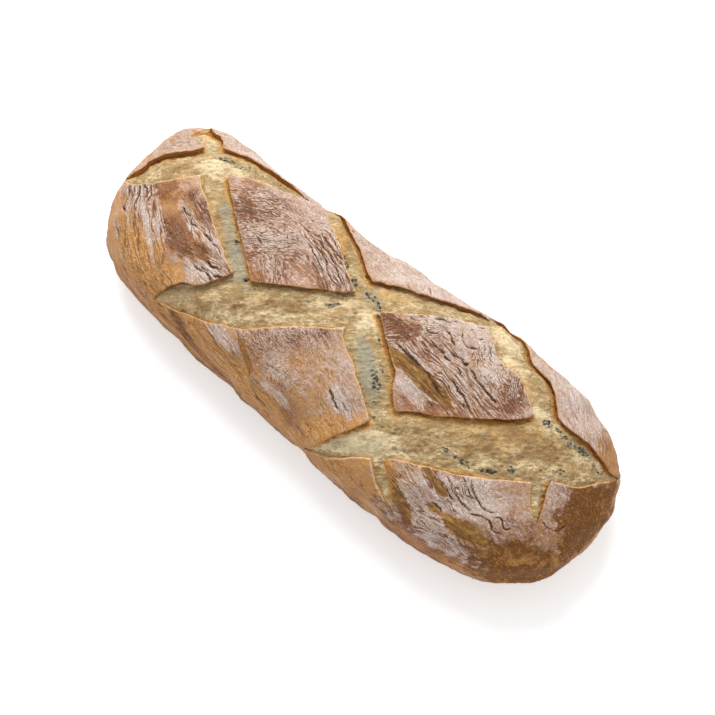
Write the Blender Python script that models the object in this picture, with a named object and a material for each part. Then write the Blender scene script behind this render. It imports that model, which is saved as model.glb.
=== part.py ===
"""Long sourdough loaf, uncut: one solid of bread.

The loaf lies along X with its crust up. Six slashes cross on its back in a
diamond pattern: three run up to the right (A) and three run down to the right
(B). Between them stand the plates of crust, and in them lies the torn crumb,
a few millimetres lower. Beside each slash the crust behind it has lifted into
a lip, and the crust in front of it slopes down to the crumb.

The skin is laid out flat first: a plan view in which the sides go on outwards
past the widest level, down to the foot. The flat sheet is triangulated with
the slash edges as its creases, and is then wrapped on the body of the loaf.
All sizes are in millimetres until the last step.
"""
import math

import bpy
import numpy as np
from mathutils import Vector
from mathutils.geometry import delaunay_2d_cdt

MM = 0.001

# Body, seen from above: half widths and midline at five stations along X,
# before the plan's power curve rounds off the ends.
HALF_LENGTH = 180.0
BODY_STATIONS = (-180.0, -90.0, 0.0, 90.0, 180.0)
HALF_WIDTHS = (97.0, 63.5, 63.7, 74.0, 90.6)
MIDLINE = (16.0, 3.1, 1.4, 0.9, 1.7)
PLAN_POWER = 2.5

# Body, seen in cross-section: heights from the widest level, down to the flat
# foot. SECTION_REACH is the plan radius that a length on the sheet stands for.
CROWN = 45.0
BELLY = 43.2
FOOT = 29.7
SECTION_POWER = 2.3
SECTION_REACH = 90.0

# Slashes: start and end of the chord on the flat sheet, then rows of
# (distance along the chord, front edge, back edge) measured off the chord.
SLASHES = {
    "A1": ((-196, 4), (-80, 60), (
        (0, 0, 0), (12, -10, 8), (30, -12, 12), (45, -10, 18), (60, -6, 24),
        (75, -4.5, 19), (105, -3, 8.5), (129, 0, 0))),
    "A2": ((-122, -58), (60, 68), (
        (0, 0, 0), (8, -5, 2.5), (30, -15, 4), (60, -23, 5.5), (90, -23.5, 2.5), (120, -23, -1),
        (135, -18, 1), (150, -9.5, 10), (180, -6, 5.5), (210, -5, 4), (221, 0, 0))),
    "A3": ((18, -76), (198, 46), (
        (0, 0, 0), (15, -4.5, 6), (45, -3.5, 19), (60, -3, 25.5), (105, -10.5, 25.5),
        (135, -9, 30), (150, -6.5, 36), (180, -7, 17), (200, -3, 4), (217, 0, 0))),
    "B1": ((-184, 80), (-18, -68), (
        (0, 0, 0), (15, -3.5, 3), (45, -8.5, 3.5), (75, -14.5, 2), (105, -10, 6),
        (135, -3.5, 9.5), (150, 2, 9.5), (165, -2, 4), (180, -5, -1), (200, -2.5, 3), (222, 0, 0))),
    "B2": ((-80, 68), (92, -72), (
        (0, 0, 0), (15, -1.5, 5.5), (45, 2, 10), (75, 4.5, 16), (90, 0.5, 15), (105, -7.5, 15),
        (150, -4, 15), (165, -4, 11), (180, -7, 3.5), (210, -5, 2), (222, 0, 0))),
    "B3": ((56, 72), (162, -22), (
        (0, 0, 0), (15, -2, 9), (30, -5.5, 14), (45, -1, 19), (60, 4.5, 24),
        (75, 6, 22), (105, 1, 13), (135, -2, 3), (142, 0, 0))),
}

# Relief beside and inside a slash.
LIP_RISE = 1.4
LIP_REACH = 5.0
FRONT_DROP = 0.5
FRONT_REACH = 3.5
FLOOR_FRONT = 3.4
FLOOR_BACK = 5.4
FULL_DEPTH_WIDTH = 12.0
TIP_DEPTH = 0.35
CRUMB_SWELL = 2.0
CRUMB_SWELL_REACH = 9.0
HALF_WALL = 0.7
CORNER_SOFTNESS = 1.5
BLEND_REACH = 1.5
FOOT_FADE = 0.12

# Unevenness of the skin: (length of the wave in x, in y, height, phase).
LUMPS = ((74.0, 58.0, 0.55, 0.4), (-47.0, 39.0, 0.45, 1.9), (29.0, -33.0, 0.3, 3.1), (18.0, 21.0, 0.16, 5.0))

# Folds of the crust: the two ends of each fold on the flat sheet, its reach
# to either side and its depth.
FOLDS = (
    ((14, 26), (60, 2), 3.0, 1.3), ((24, 30), (80, -1), 3.0, 1.5), ((38, 34), (95, 8), 3.0, 1.2),
    ((-148, 14), (-164, -18), 3.0, 1.2), ((-158, 8), (-171, -14), 2.5, 1.0),
    ((-120, 2), (-88, -26), 3.0, 1.3), ((-64, 8), (-26, 27), 2.5, 0.8),
    ((-4, -18), (18, -40), 2.5, 0.9), ((92, -40), (122, -62), 3.5, 1.0),
)

# Spacing of the mesh points on the flat sheet.
TOP_SPACING = 4.6
SIDE_SPACING = 7.5
TOP_LIMIT = 1.1
EDGE_SPACING = 4.0
SHEET_LIMIT = (330.0, 200.0)
FOOT_POINTS = 150
UNDERSIDE_SPACING = 22.0
POINT_CLEARANCE = 2.3
SHARP_ANGLE = math.radians(38.0)

CRUST_COLOUR = (0.42, 0.22, 0.10, 1.0)


def remove_old_objects():
    for old in list(bpy.data.objects):
        bpy.data.objects.remove(old, do_unlink=True)


def crust_material():
    material = bpy.data.materials.new("crust")
    material.use_nodes = True
    shader = material.node_tree.nodes["Principled BSDF"]
    shader.inputs["Base Color"].default_value = CRUST_COLOUR
    shader.inputs["Roughness"].default_value = 0.8
    shader.inputs["Metallic"].default_value = 0.0
    return material


def through_stations(values, x):
    """The one smooth curve through the values at BODY_STATIONS."""
    curve = np.polyfit(np.array(BODY_STATIONS) / HALF_LENGTH, values, len(values) - 1)
    return np.polyval(curve, np.clip(x / HALF_LENGTH, -1.0, 1.0))


def section_table():
    """Cross-section as three columns: flat radius, radius in plan, height."""
    angle = np.linspace(0.0, math.pi, 2001)
    up = np.cos(angle)
    out = np.sin(angle)
    size = (np.abs(up) ** SECTION_POWER + out ** SECTION_POWER) ** (1.0 / SECTION_POWER)
    radius = out / size
    height = np.where(up > 0, CROWN, BELLY) * up / size
    step = np.hypot(np.diff(radius) * SECTION_REACH, np.diff(height))
    flat = np.concatenate([[0.0], np.cumsum(step)]) / SECTION_REACH
    return flat, radius, height


FLAT_RADIUS, PLAN_RADIUS, LEVEL = section_table()
FOOT_RADIUS = float(np.interp(FOOT, -LEVEL, FLAT_RADIUS))


def plan_norm(across_x, across_y):
    return (np.abs(across_x) ** PLAN_POWER + np.abs(across_y) ** PLAN_POWER) ** (1.0 / PLAN_POWER)


def flat_radius(flat):
    """How far out a point of the flat sheet lies: 0 at the crown, 1 near the shoulder."""
    x = flat[:, 0]
    return plan_norm(x / HALF_LENGTH, (flat[:, 1] - through_stations(MIDLINE, x)) / through_stations(HALF_WIDTHS, x))


def wrap(flat):
    """Points of the flat sheet on the smooth body."""
    x = flat[:, 0]
    across_x = x / HALF_LENGTH
    across_y = (flat[:, 1] - through_stations(MIDLINE, x)) / through_stations(HALF_WIDTHS, x)
    reach = np.maximum(plan_norm(across_x, across_y), 1e-9)
    shrink = np.interp(reach, FLAT_RADIUS, PLAN_RADIUS) / reach
    body_x = HALF_LENGTH * across_x * shrink
    body_y = through_stations(HALF_WIDTHS, body_x) * across_y * shrink + through_stations(MIDLINE, body_x)
    return np.stack([body_x, body_y, np.interp(reach, FLAT_RADIUS, LEVEL) + FOOT], axis=1)


def wrap_normals(flat):
    step = 0.5
    along_x = wrap(flat + (step, 0.0)) - wrap(flat - (step, 0.0))
    along_y = wrap(flat + (0.0, step)) - wrap(flat - (0.0, step))
    normal = np.cross(along_x, along_y)
    return normal / np.linalg.norm(normal, axis=1)[:, None]


def smooth_curve(stations, values, x):
    """Cubic curve through (station, value) pairs, with slopes taken from the neighbours."""
    stations = np.asarray(stations, float)
    values = np.asarray(values, float)
    slopes = np.gradient(values, stations)
    x = np.clip(x, stations[0], stations[-1])
    cell = np.clip(np.searchsorted(stations, x) - 1, 0, len(stations) - 2)
    width = stations[cell + 1] - stations[cell]
    t = (x - stations[cell]) / width
    start = (1 + 2 * t) * (1 - t) ** 2 * values[cell] + t * (1 - t) ** 2 * width * slopes[cell]
    end = t * t * (3 - 2 * t) * values[cell + 1] + t * t * (t - 1) * width * slopes[cell + 1]
    return start + end


class Slash:
    """One slash: a strip of crumb between its front and its back edge."""

    def __init__(self, start, end, rows):
        self.start = np.array(start, float)
        chord = np.array(end, float) - self.start
        self.length = float(np.hypot(*chord))
        self.along = chord / self.length
        self.across = np.array((-self.along[1], self.along[0]))
        self.stations, self.front, self.back = np.array(rows, float).T
        self.stations = self.stations * self.length / self.stations[-1]

    def edges_at(self, along):
        return smooth_curve(self.stations, self.front, along), smooth_curve(self.stations, self.back, along)

    def measure(self, flat):
        """Distance to the strip (negative inside), place across it (0 front, 1 back), width."""
        along = (flat - self.start) @ self.along
        off = (flat - self.start) @ self.across
        front, back = self.edges_at(along)
        width = np.maximum(back - front, 0.1)
        beyond = along - np.clip(along, 0.0, self.length)
        distance = np.maximum(off - back, front - off)
        distance = np.where(beyond == 0.0, distance, np.hypot(beyond, np.maximum(distance, 0.0)))
        return distance, np.clip((off - front) / width, 0.0, 1.0), width

    def edge_line(self, side, gap):
        """Points along one edge, moved by gap out of the strip."""
        count = max(int(self.length / EDGE_SPACING), 2)
        along = np.linspace(0.0, self.length, count + 1)
        front, back = self.edges_at(along)
        off = back + gap if side > 0 else front - gap
        return self.start + along[:, None] * self.along + off[:, None] * self.across


SLASH_STRIPS = {name: Slash(*shape) for name, shape in SLASHES.items()}


def soft_minimum(values):
    """The least of several distances, with the corners between them rounded."""
    values = np.stack(values)
    least = values.min(axis=0)
    return least - CORNER_SOFTNESS * np.log(np.exp((least - values) / CORNER_SOFTNESS).sum(axis=0)) * 0.5


def slash_distance(flat):
    return soft_minimum([strip.measure(flat)[0] for strip in SLASH_STRIPS.values()])


def fold_depth(flat):
    depth = np.zeros(len(flat))
    for start, end, reach, size in FOLDS:
        start = np.array(start, float)
        chord = np.array(end, float) - start
        t = np.clip((flat - start) @ chord / (chord @ chord), 0.0, 1.0)
        gap = np.linalg.norm(flat - start - t[:, None] * chord, axis=1)
        depth += size * np.sin(math.pi * t) * np.exp(-((gap / reach) ** 2))
    return depth


def lump_height(flat):
    height = np.zeros(len(flat))
    for length_x, length_y, size, phase in LUMPS:
        height += size * np.sin(2 * math.pi * (flat[:, 0] / length_x + flat[:, 1] / length_y) + phase)
    return height


def relief(flat):
    """Height of the real skin over the smooth body."""
    measured = [strip.measure(flat) for strip in SLASH_STRIPS.values()]
    distance = soft_minimum([gap for gap, _, _ in measured])
    weight = np.stack([np.exp(-np.clip(gap, -8.0, 40.0) / BLEND_REACH) for gap, _, _ in measured])
    weight /= weight.sum(axis=0)
    place = sum(part * across for part, (_, across, _) in zip(weight, measured))
    width = sum(part * wide for part, (_, _, wide) in zip(weight, measured))

    openness = np.clip(width / FULL_DEPTH_WIDTH, 0.0, 1.0)
    outside = np.maximum(distance, 0.0)
    lip = place * LIP_RISE * np.exp(-outside / LIP_REACH)
    drop = (1.0 - place) * FRONT_DROP * np.exp(-outside / FRONT_REACH)
    crust = (lip - drop) * openness - fold_depth(flat)

    depth = FLOOR_FRONT + (FLOOR_BACK - FLOOR_FRONT) * place ** 2
    depth *= np.maximum(openness, TIP_DEPTH)
    swell = CRUMB_SWELL * (1.0 - np.exp(np.minimum(distance, 0.0) / CRUMB_SWELL_REACH))
    crumb = swell - depth

    wall = np.clip((distance + HALF_WALL) / (2.0 * HALF_WALL), 0.0, 1.0)
    fade = np.clip((FOOT_RADIUS - flat_radius(flat)) / FOOT_FADE, 0.0, 1.0)
    return (crumb + (crust - crumb) * wall + lump_height(flat)) * fade


def foot_line():
    """The outline of the flat sheet: the edge on which the loaf rests."""
    angle = np.linspace(0.0, 2.0 * math.pi, FOOT_POINTS, endpoint=False)
    ray = np.stack([np.cos(angle), np.sin(angle)], axis=1)
    across = FOOT_RADIUS * ray / plan_norm(ray[:, 0], ray[:, 1])[:, None]
    x = HALF_LENGTH * across[:, 0]
    y = through_stations(HALF_WIDTHS, x) * across[:, 1] + through_stations(MIDLINE, x)
    return np.stack([x, y], axis=1)


def rows_of_points(spacing, limit_x, limit_y):
    """Points in staggered rows, each three its own triangle."""
    points = []
    for row in range(-int(limit_y / spacing) - 1, int(limit_y / spacing) + 2):
        shift = 0.5 * spacing * (row % 2)
        count = int(limit_x / spacing) + 1
        points += [(column * spacing + shift, row * spacing * math.sqrt(0.75)) for column in range(-count, count + 1)]
    return np.array(points, float)


def fold_lines():
    """The valley of every fold and a line on each of its slopes."""
    lines = []
    for start, end, reach, _ in FOLDS:
        start = np.array(start, float)
        chord = np.array(end, float) - start
        length = float(np.hypot(*chord))
        across = np.array((-chord[1], chord[0])) / length
        steps = np.linspace(0.05, 0.95, int(length / EDGE_SPACING))
        lines += [start + steps[:, None] * chord + gap * across for gap in (-reach, 0.0, reach)]
    return lines


def slash_lines():
    """The rim and the foot of every slash edge, without what other slashes have opened."""
    lines = []
    for name, strip in SLASH_STRIPS.items():
        others = [other for other_name, other in SLASH_STRIPS.items() if other_name != name]
        for side in (-1, 1):
            for gap in (-HALF_WALL, HALF_WALL):
                line = strip.edge_line(side, gap)
                open_air = np.min([other.measure(line)[0] for other in others], axis=0)
                keep = open_air > gap - 0.5
                runs = np.split(np.arange(len(line)), np.flatnonzero(np.diff(keep.astype(int))) + 1)
                lines += [line[run] for run in runs if keep[run[0]] and len(run) > 1]
    return lines


def clear_of(points, others, clearance):
    """The points that keep a clearance to all the others."""
    keep = np.ones(len(points), bool)
    for other in others:
        keep &= np.hypot(*(points - other).T) > clearance
    return points[keep]


def triangulate(points, lines, outline):
    """Delaunay triangles of a flat outline, with the lines as creases."""
    corners = [Vector(point) for point in outline]
    edges = [(i, (i + 1) % len(outline)) for i in range(len(outline))]
    for line in lines:
        first = len(corners)
        corners += [Vector(point) for point in line]
        edges += [(first + i, first + i + 1) for i in range(len(line) - 1)]
    corners += [Vector(point) for point in points]
    placed, _, faces, _, _, _ = delaunay_2d_cdt(corners, edges, [list(range(len(outline)))], 1, 0.02)
    return np.array([tuple(point) for point in placed]), [tuple(face) for face in faces]


def upper_skin():
    outline = foot_line()
    lines = slash_lines() + fold_lines()
    top = rows_of_points(TOP_SPACING, *SHEET_LIMIT)
    side = rows_of_points(SIDE_SPACING, *SHEET_LIMIT)
    top_radius = flat_radius(top)
    side_radius = flat_radius(side)
    top = top[top_radius < TOP_LIMIT]
    side = side[(side_radius > TOP_LIMIT + 0.02) & (side_radius < FOOT_RADIUS - 0.02)]
    free = clear_of(np.concatenate([top, side]), np.concatenate(lines), POINT_CLEARANCE)
    free = free[np.abs(slash_distance(free)) > POINT_CLEARANCE]
    flat, faces = triangulate(free, lines, outline)
    skin = wrap(flat) + wrap_normals(flat) * relief(flat)[:, None]
    skin[:, 2] = np.maximum(skin[:, 2], 0.0)
    skin[flat_radius(flat) > FOOT_RADIUS - 1e-4, 2] = 0.0
    return skin, faces


def boundary_loop(faces):
    """Corner numbers round the open edge, in the order of the faces."""
    sides = {(corner, face[(i + 1) % len(face)]) for face in faces for i, corner in enumerate(face)}
    following = {a: b for a, b in sides if (b, a) not in sides}
    loop = [next(iter(following))]
    while following[loop[-1]] != loop[0]:
        loop.append(following[loop[-1]])
    return loop


def under_the_loaf(points):
    """The points of the ground that lie well inside the foot line."""
    x = points[:, 0]
    across_y = (points[:, 1] - through_stations(MIDLINE, x)) / through_stations(HALF_WIDTHS, x)
    foot_plan = float(np.interp(FOOT_RADIUS, FLAT_RADIUS, PLAN_RADIUS))
    return points[plan_norm(x / HALF_LENGTH, across_y) < foot_plan - 0.03]


def with_underside(skin, faces):
    """The skin closed by a flat underside that shares its foot line."""
    loop = boundary_loop(faces)
    outline = skin[loop, :2]
    inner = under_the_loaf(rows_of_points(UNDERSIDE_SPACING, *SHEET_LIMIT))
    free = clear_of(inner, outline, 0.6 * UNDERSIDE_SPACING)
    flat, under = triangulate(free, [], outline)
    numbers = []
    points = list(map(tuple, skin))
    for point in flat:
        gap = np.hypot(*(outline - point).T)
        nearest = int(gap.argmin())
        if gap[nearest] < 1e-3:
            numbers.append(loop[nearest])
        else:
            numbers.append(len(points))
            points.append((point[0], point[1], 0.0))
    return points, faces + [tuple(numbers[corner] for corner in reversed(face)) for face in under]


def centred(points):
    """The points in metres, with the middle of their box over the origin."""
    points = np.array(points)
    middle = 0.5 * (points.min(axis=0) + points.max(axis=0))
    return (points - (middle[0], middle[1], 0.0)) * MM


def build_loaf():
    skin, faces = upper_skin()
    points, faces = with_underside(skin, faces)
    mesh = bpy.data.meshes.new("loaf")
    mesh.from_pydata([tuple(point) for point in centred(points)], [], faces)
    mesh.materials.append(crust_material())
    mesh.shade_smooth()
    mesh.set_sharp_from_angle(angle=SHARP_ANGLE)
    loaf = bpy.data.objects.new("loaf", mesh)
    bpy.context.scene.collection.objects.link(loaf)
    return loaf


remove_old_objects()
build_loaf()
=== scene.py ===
"""Looks of the long sourdough loaf: floury crust, torn crumb, flour grains, light and camera.

The loaf's skin is laid out flat first, as in the solid: a plan view whose
sides go on outwards past the widest level, down to the foot. On that flat
sheet, in millimetres, the slashes, the plates of crust, the folds and the
patches of flour are placed. The sheet is then wrapped on the body.

Pieces: crust (the browned skin, with torn rims that go down into the slashes),
crumb (what shows in the slashes) and flour (loose grains on the crust).
"""

import math

import bpy
import numpy as np
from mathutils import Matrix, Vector
from mathutils.geometry import delaunay_2d_cdt


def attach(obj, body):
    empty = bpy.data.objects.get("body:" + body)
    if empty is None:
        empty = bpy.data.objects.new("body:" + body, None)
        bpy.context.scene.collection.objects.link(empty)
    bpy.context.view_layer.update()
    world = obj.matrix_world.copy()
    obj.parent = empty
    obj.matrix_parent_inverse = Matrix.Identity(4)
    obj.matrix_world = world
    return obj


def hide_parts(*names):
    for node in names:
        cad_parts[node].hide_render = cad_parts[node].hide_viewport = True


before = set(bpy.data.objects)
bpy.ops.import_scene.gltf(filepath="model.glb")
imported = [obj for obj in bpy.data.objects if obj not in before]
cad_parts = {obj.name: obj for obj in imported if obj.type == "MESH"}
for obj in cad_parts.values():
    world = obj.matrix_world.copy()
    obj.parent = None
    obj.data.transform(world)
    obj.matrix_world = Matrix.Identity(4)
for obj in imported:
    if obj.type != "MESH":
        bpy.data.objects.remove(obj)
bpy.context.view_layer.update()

MM = 0.001

# ---------------------------------------------------------------- body of the loaf, as in the solid
HALF_LENGTH = 180.0
BODY_STATIONS = (-180.0, -90.0, 0.0, 90.0, 180.0)
HALF_WIDTHS = (97.0, 63.5, 63.7, 74.0, 90.6)
MIDLINE = (16.0, 3.1, 1.4, 0.9, 1.7)
PLAN_POWER = 2.5
CROWN = 45.0
BELLY = 43.2
FOOT = 29.7
SECTION_POWER = 2.3
SECTION_REACH = 90.0

# Slashes: start and end of the chord on the flat sheet, then rows of
# (distance along the chord, front edge, back edge) measured off the chord.
SLASHES = {
    "A1": ((-208, -2), (-80, 60), (
        (0, 0, 0), (10, -7, -2), (18, -11.5, 0.5), (27, -12, 8), (43, -12, 12.5), (58, -9, 15.5),
        (67, -6, 20.5), (78, -3, 22.5), (88, -2, 20), (100, -0.5, 16.5), (113, -1, 14), (128, 0, 7.5),
        (136, 1.5, 4.5), (142, 0, 0))),
    "A2": ((-122, -58), (60, 68), (
        (0, 0, 0), (3, -1, 1), (6, -3, 2), (12, -6.5, 3.5), (20, -10, 4.5), (30, -13.5, 4.5),
        (41, -17.5, 2.5), (52, -20, 5.5), (62, -22.5, 8), (66, -23.5, 6), (72, -23.5, 4.5),
        (90, -23, 2.5), (110, -22, 1.5), (128, -21, 0), (136, -18, 1), (143, -12.5, 9.5),
        (152, -9, 9.5), (160, -8, 9.5), (170, -7.5, 7), (187, -6.5, 5), (205, -5.5, 5), (213, -5, 4.5),
        (218, -3, 2), (221, 0, 0))),
    "A3": ((18, -76), (198, 46), (
        (0, 0, 0), (15, -4.5, 6), (45, -3, 19), (58, -3, 25), (80, -6.5, 24.5), (100, -9.5, 25),
        (120, -10, 27), (137, -9, 30.5), (148, -7.5, 35), (155, -7, 34), (161, -7.5, 28),
        (170, -8.5, 23.5), (182, -6, 18), (191, -3.5, 11), (199, -2, 4.5), (208, -1, 1.5),
        (217, 0, 0))),
    "B1": ((-184, 80), (-18, -68), (
        (0, 0, 0), (8, -9, -1), (17, -15, 0), (24, -15.5, 1.5), (31, -11, 3), (39, -8, 4),
        (48, -8.5, 3.5), (60, -11.5, 3), (72, -13, 3.5), (90, -11, 4.5), (106, -8.5, 5.5), (122, -6, 7),
        (136, -3.5, 8), (147, 1, 9), (157, 2, 8.5), (166, -2, 4), (176, -4.5, -3.5), (181, -5.5, -3),
        (186, -6, -1.5), (193, -5.5, -0.5), (199, -5.2, -0.3), (204, -5, -1), (209, -4.5, -2.5),
        (214, -3.5, -2), (222, 0, 0))),
    "B2": ((-80, 68), (92, -72), (
        (0, 0, 0), (7, -1, 3.5), (15, -1, 8.5), (22, -0.5, 10), (36, 0.5, 10.5), (51, 1.5, 12.5),
        (65, 2.5, 14), (77, 3, 15), (86, 3.5, 15.5), (96, -2, 15), (105, -7, 15.5), (127, -6, 16.5),
        (137, -5, 17), (143, -4.5, 15.5), (150, -4, 13), (165, -4, 11), (180, -7, 3.5), (210, -5, 2),
        (222, 0, 0))),
    "B3": ((56, 72), (162, -22), (
        (0, -1, 4), (3, -4, 10), (7, -6, 14.5), (12, -6.5, 16.5), (20, -7, 17), (27, -7.5, 16.5),
        (33, -7, 15.5), (40, -3.5, 15.5), (46, 1, 18.5), (51, 4, 23), (58, 5, 24), (66, 6, 23.5),
        (75, 7, 23), (90, 4, 18), (105, 1, 13), (135, -2, 3), (142, 0, 0))),
}
# How rusty the crumb bakes where it climbs to the back edge of each slash.
RUST = {"A1": 1.0, "A2": 0.25, "A3": 0.7, "B1": 0.8, "B2": 1.0, "B3": 1.0}
EDGE_WAVES = ((9.0, 0.7), (3.1, 0.45), (1.3, 0.25))

# Relief beside and inside a slash.
LIP_RISE = 1.5
LIP_REACH = 4.5
FRONT_DROP = 0.4
FRONT_REACH = 3.0
FLOOR_FRONT = 2.4
FLOOR_BACK = 3.1
FULL_DEPTH_WIDTH = 12.0
TIP_DEPTH = 0.35
CRUMB_SWELL = 2.2
CRUMB_SWELL_REACH = 9.0
CORNER_SOFTNESS = 1.5
BLEND_REACH = 1.5
FOOT_FADE = 0.12
BACK_OVERHANG = 1.9
FRONT_OVERHANG = 0.35
OVERHANG_REACH = 3.0

# The rim of the crust in cross-section: share of the overhang, depth under the top.
RIM_PROFILE = ((1.10, 0.25), (1.06, 0.75), (0.85, 1.25), (0.5, 1.9), (0.1, 2.8), (-0.3, 4.2), (-0.3, 8.0))
SHELL_DEPTH = 8.0
WALL_HEIGHT = 4.0
CRUMB_UNDER_CRUST = 4.2
CRUMB_LIMIT = 1.2

# Unevenness of the skin: (length of the wave in x, in y, height, phase).
LUMPS = ((74.0, 58.0, 0.55, 0.4), (-47.0, 39.0, 0.45, 1.9), (29.0, -33.0, 0.3, 3.1), (18.0, 21.0, 0.16, 5.0))

# Cracks of the crust, traced: reach to either side, depth, points along the crack.
# One of negative depth is a raised fold with flour on it.
CRACKS = (
    (0.7, 1.1, ((40, 23), (45, 23), (52, 23))),
    (0.8, 1.2, ((52, 27), (56, 26), (60, 27), (64, 26), (66, 29))),
    (0.6, 0.8, ((50, 21), (54, 22), (57, 22))),
    (0.45, 0.5, ((35, 20), (39, 20), (42, 20))),
    (0.65, 0.9, ((26, 9), (32, 9), (38, 9), (45, 8), (50, 7), (56, 5), (61, 3), (67, 2), (71, 3))),
    (0.8, -0.6, ((37, -1), (43, -3), (50, -5), (57, -5), (64, -4), (70, -2))),
    (0.5, 0.6, ((61, 21), (64, 20), (68, 18), (72, 17))),
    (0.55, 0.7, ((63, 13), (68, 12), (72, 10), (77, 9), (81, 7), (85, 6))),
    (0.6, 0.9, ((68, 25), (72, 24), (77, 22), (81, 21), (86, 21), (90, 20), (94, 19))),
    (0.5, 0.6, ((76, 5), (82, 4))),
    (0.5, 0.6, ((80, 14), (85, 12), (92, 10))),
    (0.5, 0.7, ((42, 37), (45, 35), (49, 33), (53, 31))),
    (0.6, 0.8, ((49, 42), (53, 38), (58, 36), (61, 38), (64, 40))),
    (0.4, 0.4, ((52, 47), (54, 51))),
    (0.4, 0.4, ((57, 44), (60, 45), (64, 49))),
    (0.5, 0.6, ((31, 29), (35, 28), (38, 29), (41, 32))),
    (0.5, 0.6, ((32, 37), (35, 41), (39, 42), (42, 46), (46, 47))),
    (0.4, 0.4, ((54, 54), (58, 60))),
    (0.45, 0.5, ((66, 48), (70, 45), (72, 42))),
    (0.4, 0.4, ((62, 37), (64, 32))),
    (0.6, 1, ((-186, -5), (-180, -10), (-177, -16), (-176, -20), (-170, -22))),
    (0.5, 0.7, ((-181, -3), (-176, -9), (-173, -14))),
    (0.7, 0.9, ((-177, -1), (-172, -6), (-169, -11), (-166, -17))),
    (0.5, 0.6, ((-173, 1), (-166, -3), (-160, -8))),
    (0.45, 0.4, ((-167, 2), (-160, -4), (-158, -8))),
    (0.6, 0.7, ((-160, -25), (-155, -28))),
    (0.5, 0.5, ((-178, -28), (-174, -34), (-169, -38), (-165, -44))),
    (0.6, 1.1, ((-133, 0), (-128, -2), (-124, -3))),
    (0.45, 0.6, ((-124, -3), (-120, -5), (-115, -6))),
    (0.4, 0.5, ((-129, 8), (-123, 6), (-118, 4))),
    (0.55, 1, ((-110, -6), (-105, -8), (-100, -9), (-96, -10))),
    (0.6, 1, ((-97, -19), (-91, -20), (-88, -19), (-85, -18))),
    (0.55, 0.9, ((-103, -25), (-97, -26), (-92, -25), (-88, -26), (-85, -26))),
    (0.5, 0.7, ((-88, -24), (-83, -22), (-78, -20))),
    (0.45, 0.6, ((-99, -24), (-94, -24), (-89, -24))),
    (0.4, 0.35, ((-143, -9), (-138, -11), (-137, -15), (-131, -13))),
    (0.45, 0.4, ((-132, -18), (-126, -20))),
    (0.42, 0.55, ((-57, 39), (-49, 36), (-43, 34), (-35, 31), (-27, 26), (-20, 21))),
    (0.42, 0.5, ((-56, 34), (-50, 32), (-43, 30), (-36, 27), (-29, 22), (-23, 18))),
    (0.42, 0.5, ((-57, 31), (-49, 28), (-43, 26), (-37, 22), (-30, 17))),
    (0.4, 0.4, ((-55, 27), (-49, 24), (-44, 22), (-36, 17))),
    (0.4, 0.45, ((-68, 35), (-63, 34), (-57, 31))),
    (0.4, 0.4, ((-72, 37), (-66, 35), (-60, 34))),
    (0.4, 0.45, ((-58, 43), (-49, 40), (-42, 36), (-34, 33), (-28, 29), (-20, 24))),
    (0.4, 0.35, ((-92, 13), (-87, 11), (-81, 10), (-75, 8))),
    (0.4, 0.35, ((-73, 6), (-68, 5), (-63, 3))),
    (0.55, 0.9, ((22, -37), (26, -39), (31, -40))),
    (0.6, 0.7, ((12, -35), (16, -38), (21, -41), (25, -42))),
    (0.45, 0.4, ((11, -59), (16, -60), (20, -61))),
    (0.45, 0.4, ((20, -51), (26, -52), (30, -51))),
    (0.4, 0.3, ((-31, -46), (-25, -46), (-20, -46))),
    (0.45, 0.5, ((88, -36), (94, -38), (100, -38), (106, -40), (113, -43))),
    (0.45, 0.5, ((101, -34), (106, -35), (109, -37))),
    (0.5, 0.6, ((108, -38), (114, -40), (119, -41), (125, -41))),
    (0.45, 0.7, ((107, -29), (113, -31), (118, -34), (121, -34))),
    (0.6, 0.7, ((112, -28), (116, -30), (124, -34), (131, -35), (136, -33))),
    (0.55, 0.6, ((124, -42), (130, -40), (138, -39), (143, -42), (149, -40))),
    (0.45, 0.5, ((137, -36), (141, -33), (147, -36), (151, -33))),
    (0.9, -0.7, ((114, -55), (118, -58), (125, -60), (132, -60), (139, -58), (146, -55), (152, -51))),
    (0.9, -0.7, ((106, -44), (113, -46), (120, -46), (127, -45), (134, -43), (141, -42), (148, -44),
     (154, -47))),
    (0.7, -0.5, ((84, -42), (92, -45), (100, -46), (107, -48), (113, -51))),
    (0.7, -0.5, ((94, -52), (103, -57), (110, -57), (115, -55))),
    (0.8, -0.6, ((-116, -17), (-108, -19), (-100, -22), (-93, -23), (-86, -22))),
    (0.8, -0.6, ((-134, -1), (-127, -5), (-119, -9), (-111, -12), (-104, -13))),
    (1.3, -0.7, ((15, -32), (20, -35), (26, -38), (32, -41))),
    (0.4, 0.5, ((112, -27), (116, -31))),
    (0.5, 0.6, ((102, -51), (108, -51), (112, -53))),
    (0.45, 0.4, ((161, -18), (169, -18), (175, -16), (178, -9))),
    (0.5, 0.6, ((14, 54), (19, 51), (20, 46))),
    (0.4, 0.3, ((3, 45), (8, 45), (13, 45))),
    (0.4, 0.3, ((-48, 59), (-41, 56), (-36, 57))),
)

CRACK_STEP = 0.5
CRACK_SWAY = 2.2
JAG = 1.0
CRACK_REACH = 0.8
CRACK_LEAST = 0.12
CRACK_ROWS = (-2.3, -1.0, 0.0, 1.0, 2.3)

# Spots where the floury skin has peeled off: centre, direction, half length, half width.
PEELED = (((50, 2.5), -6, 27, 5.4), ((132, -52.5), 4, 20, 6.2), ((99, -41.5), -14, 15, 2.0),
          ((107, -53.5), -2, 7, 2.2), ((92, -62), -31, 17, 2.0))
PEEL_DEPTH = 0.45

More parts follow.
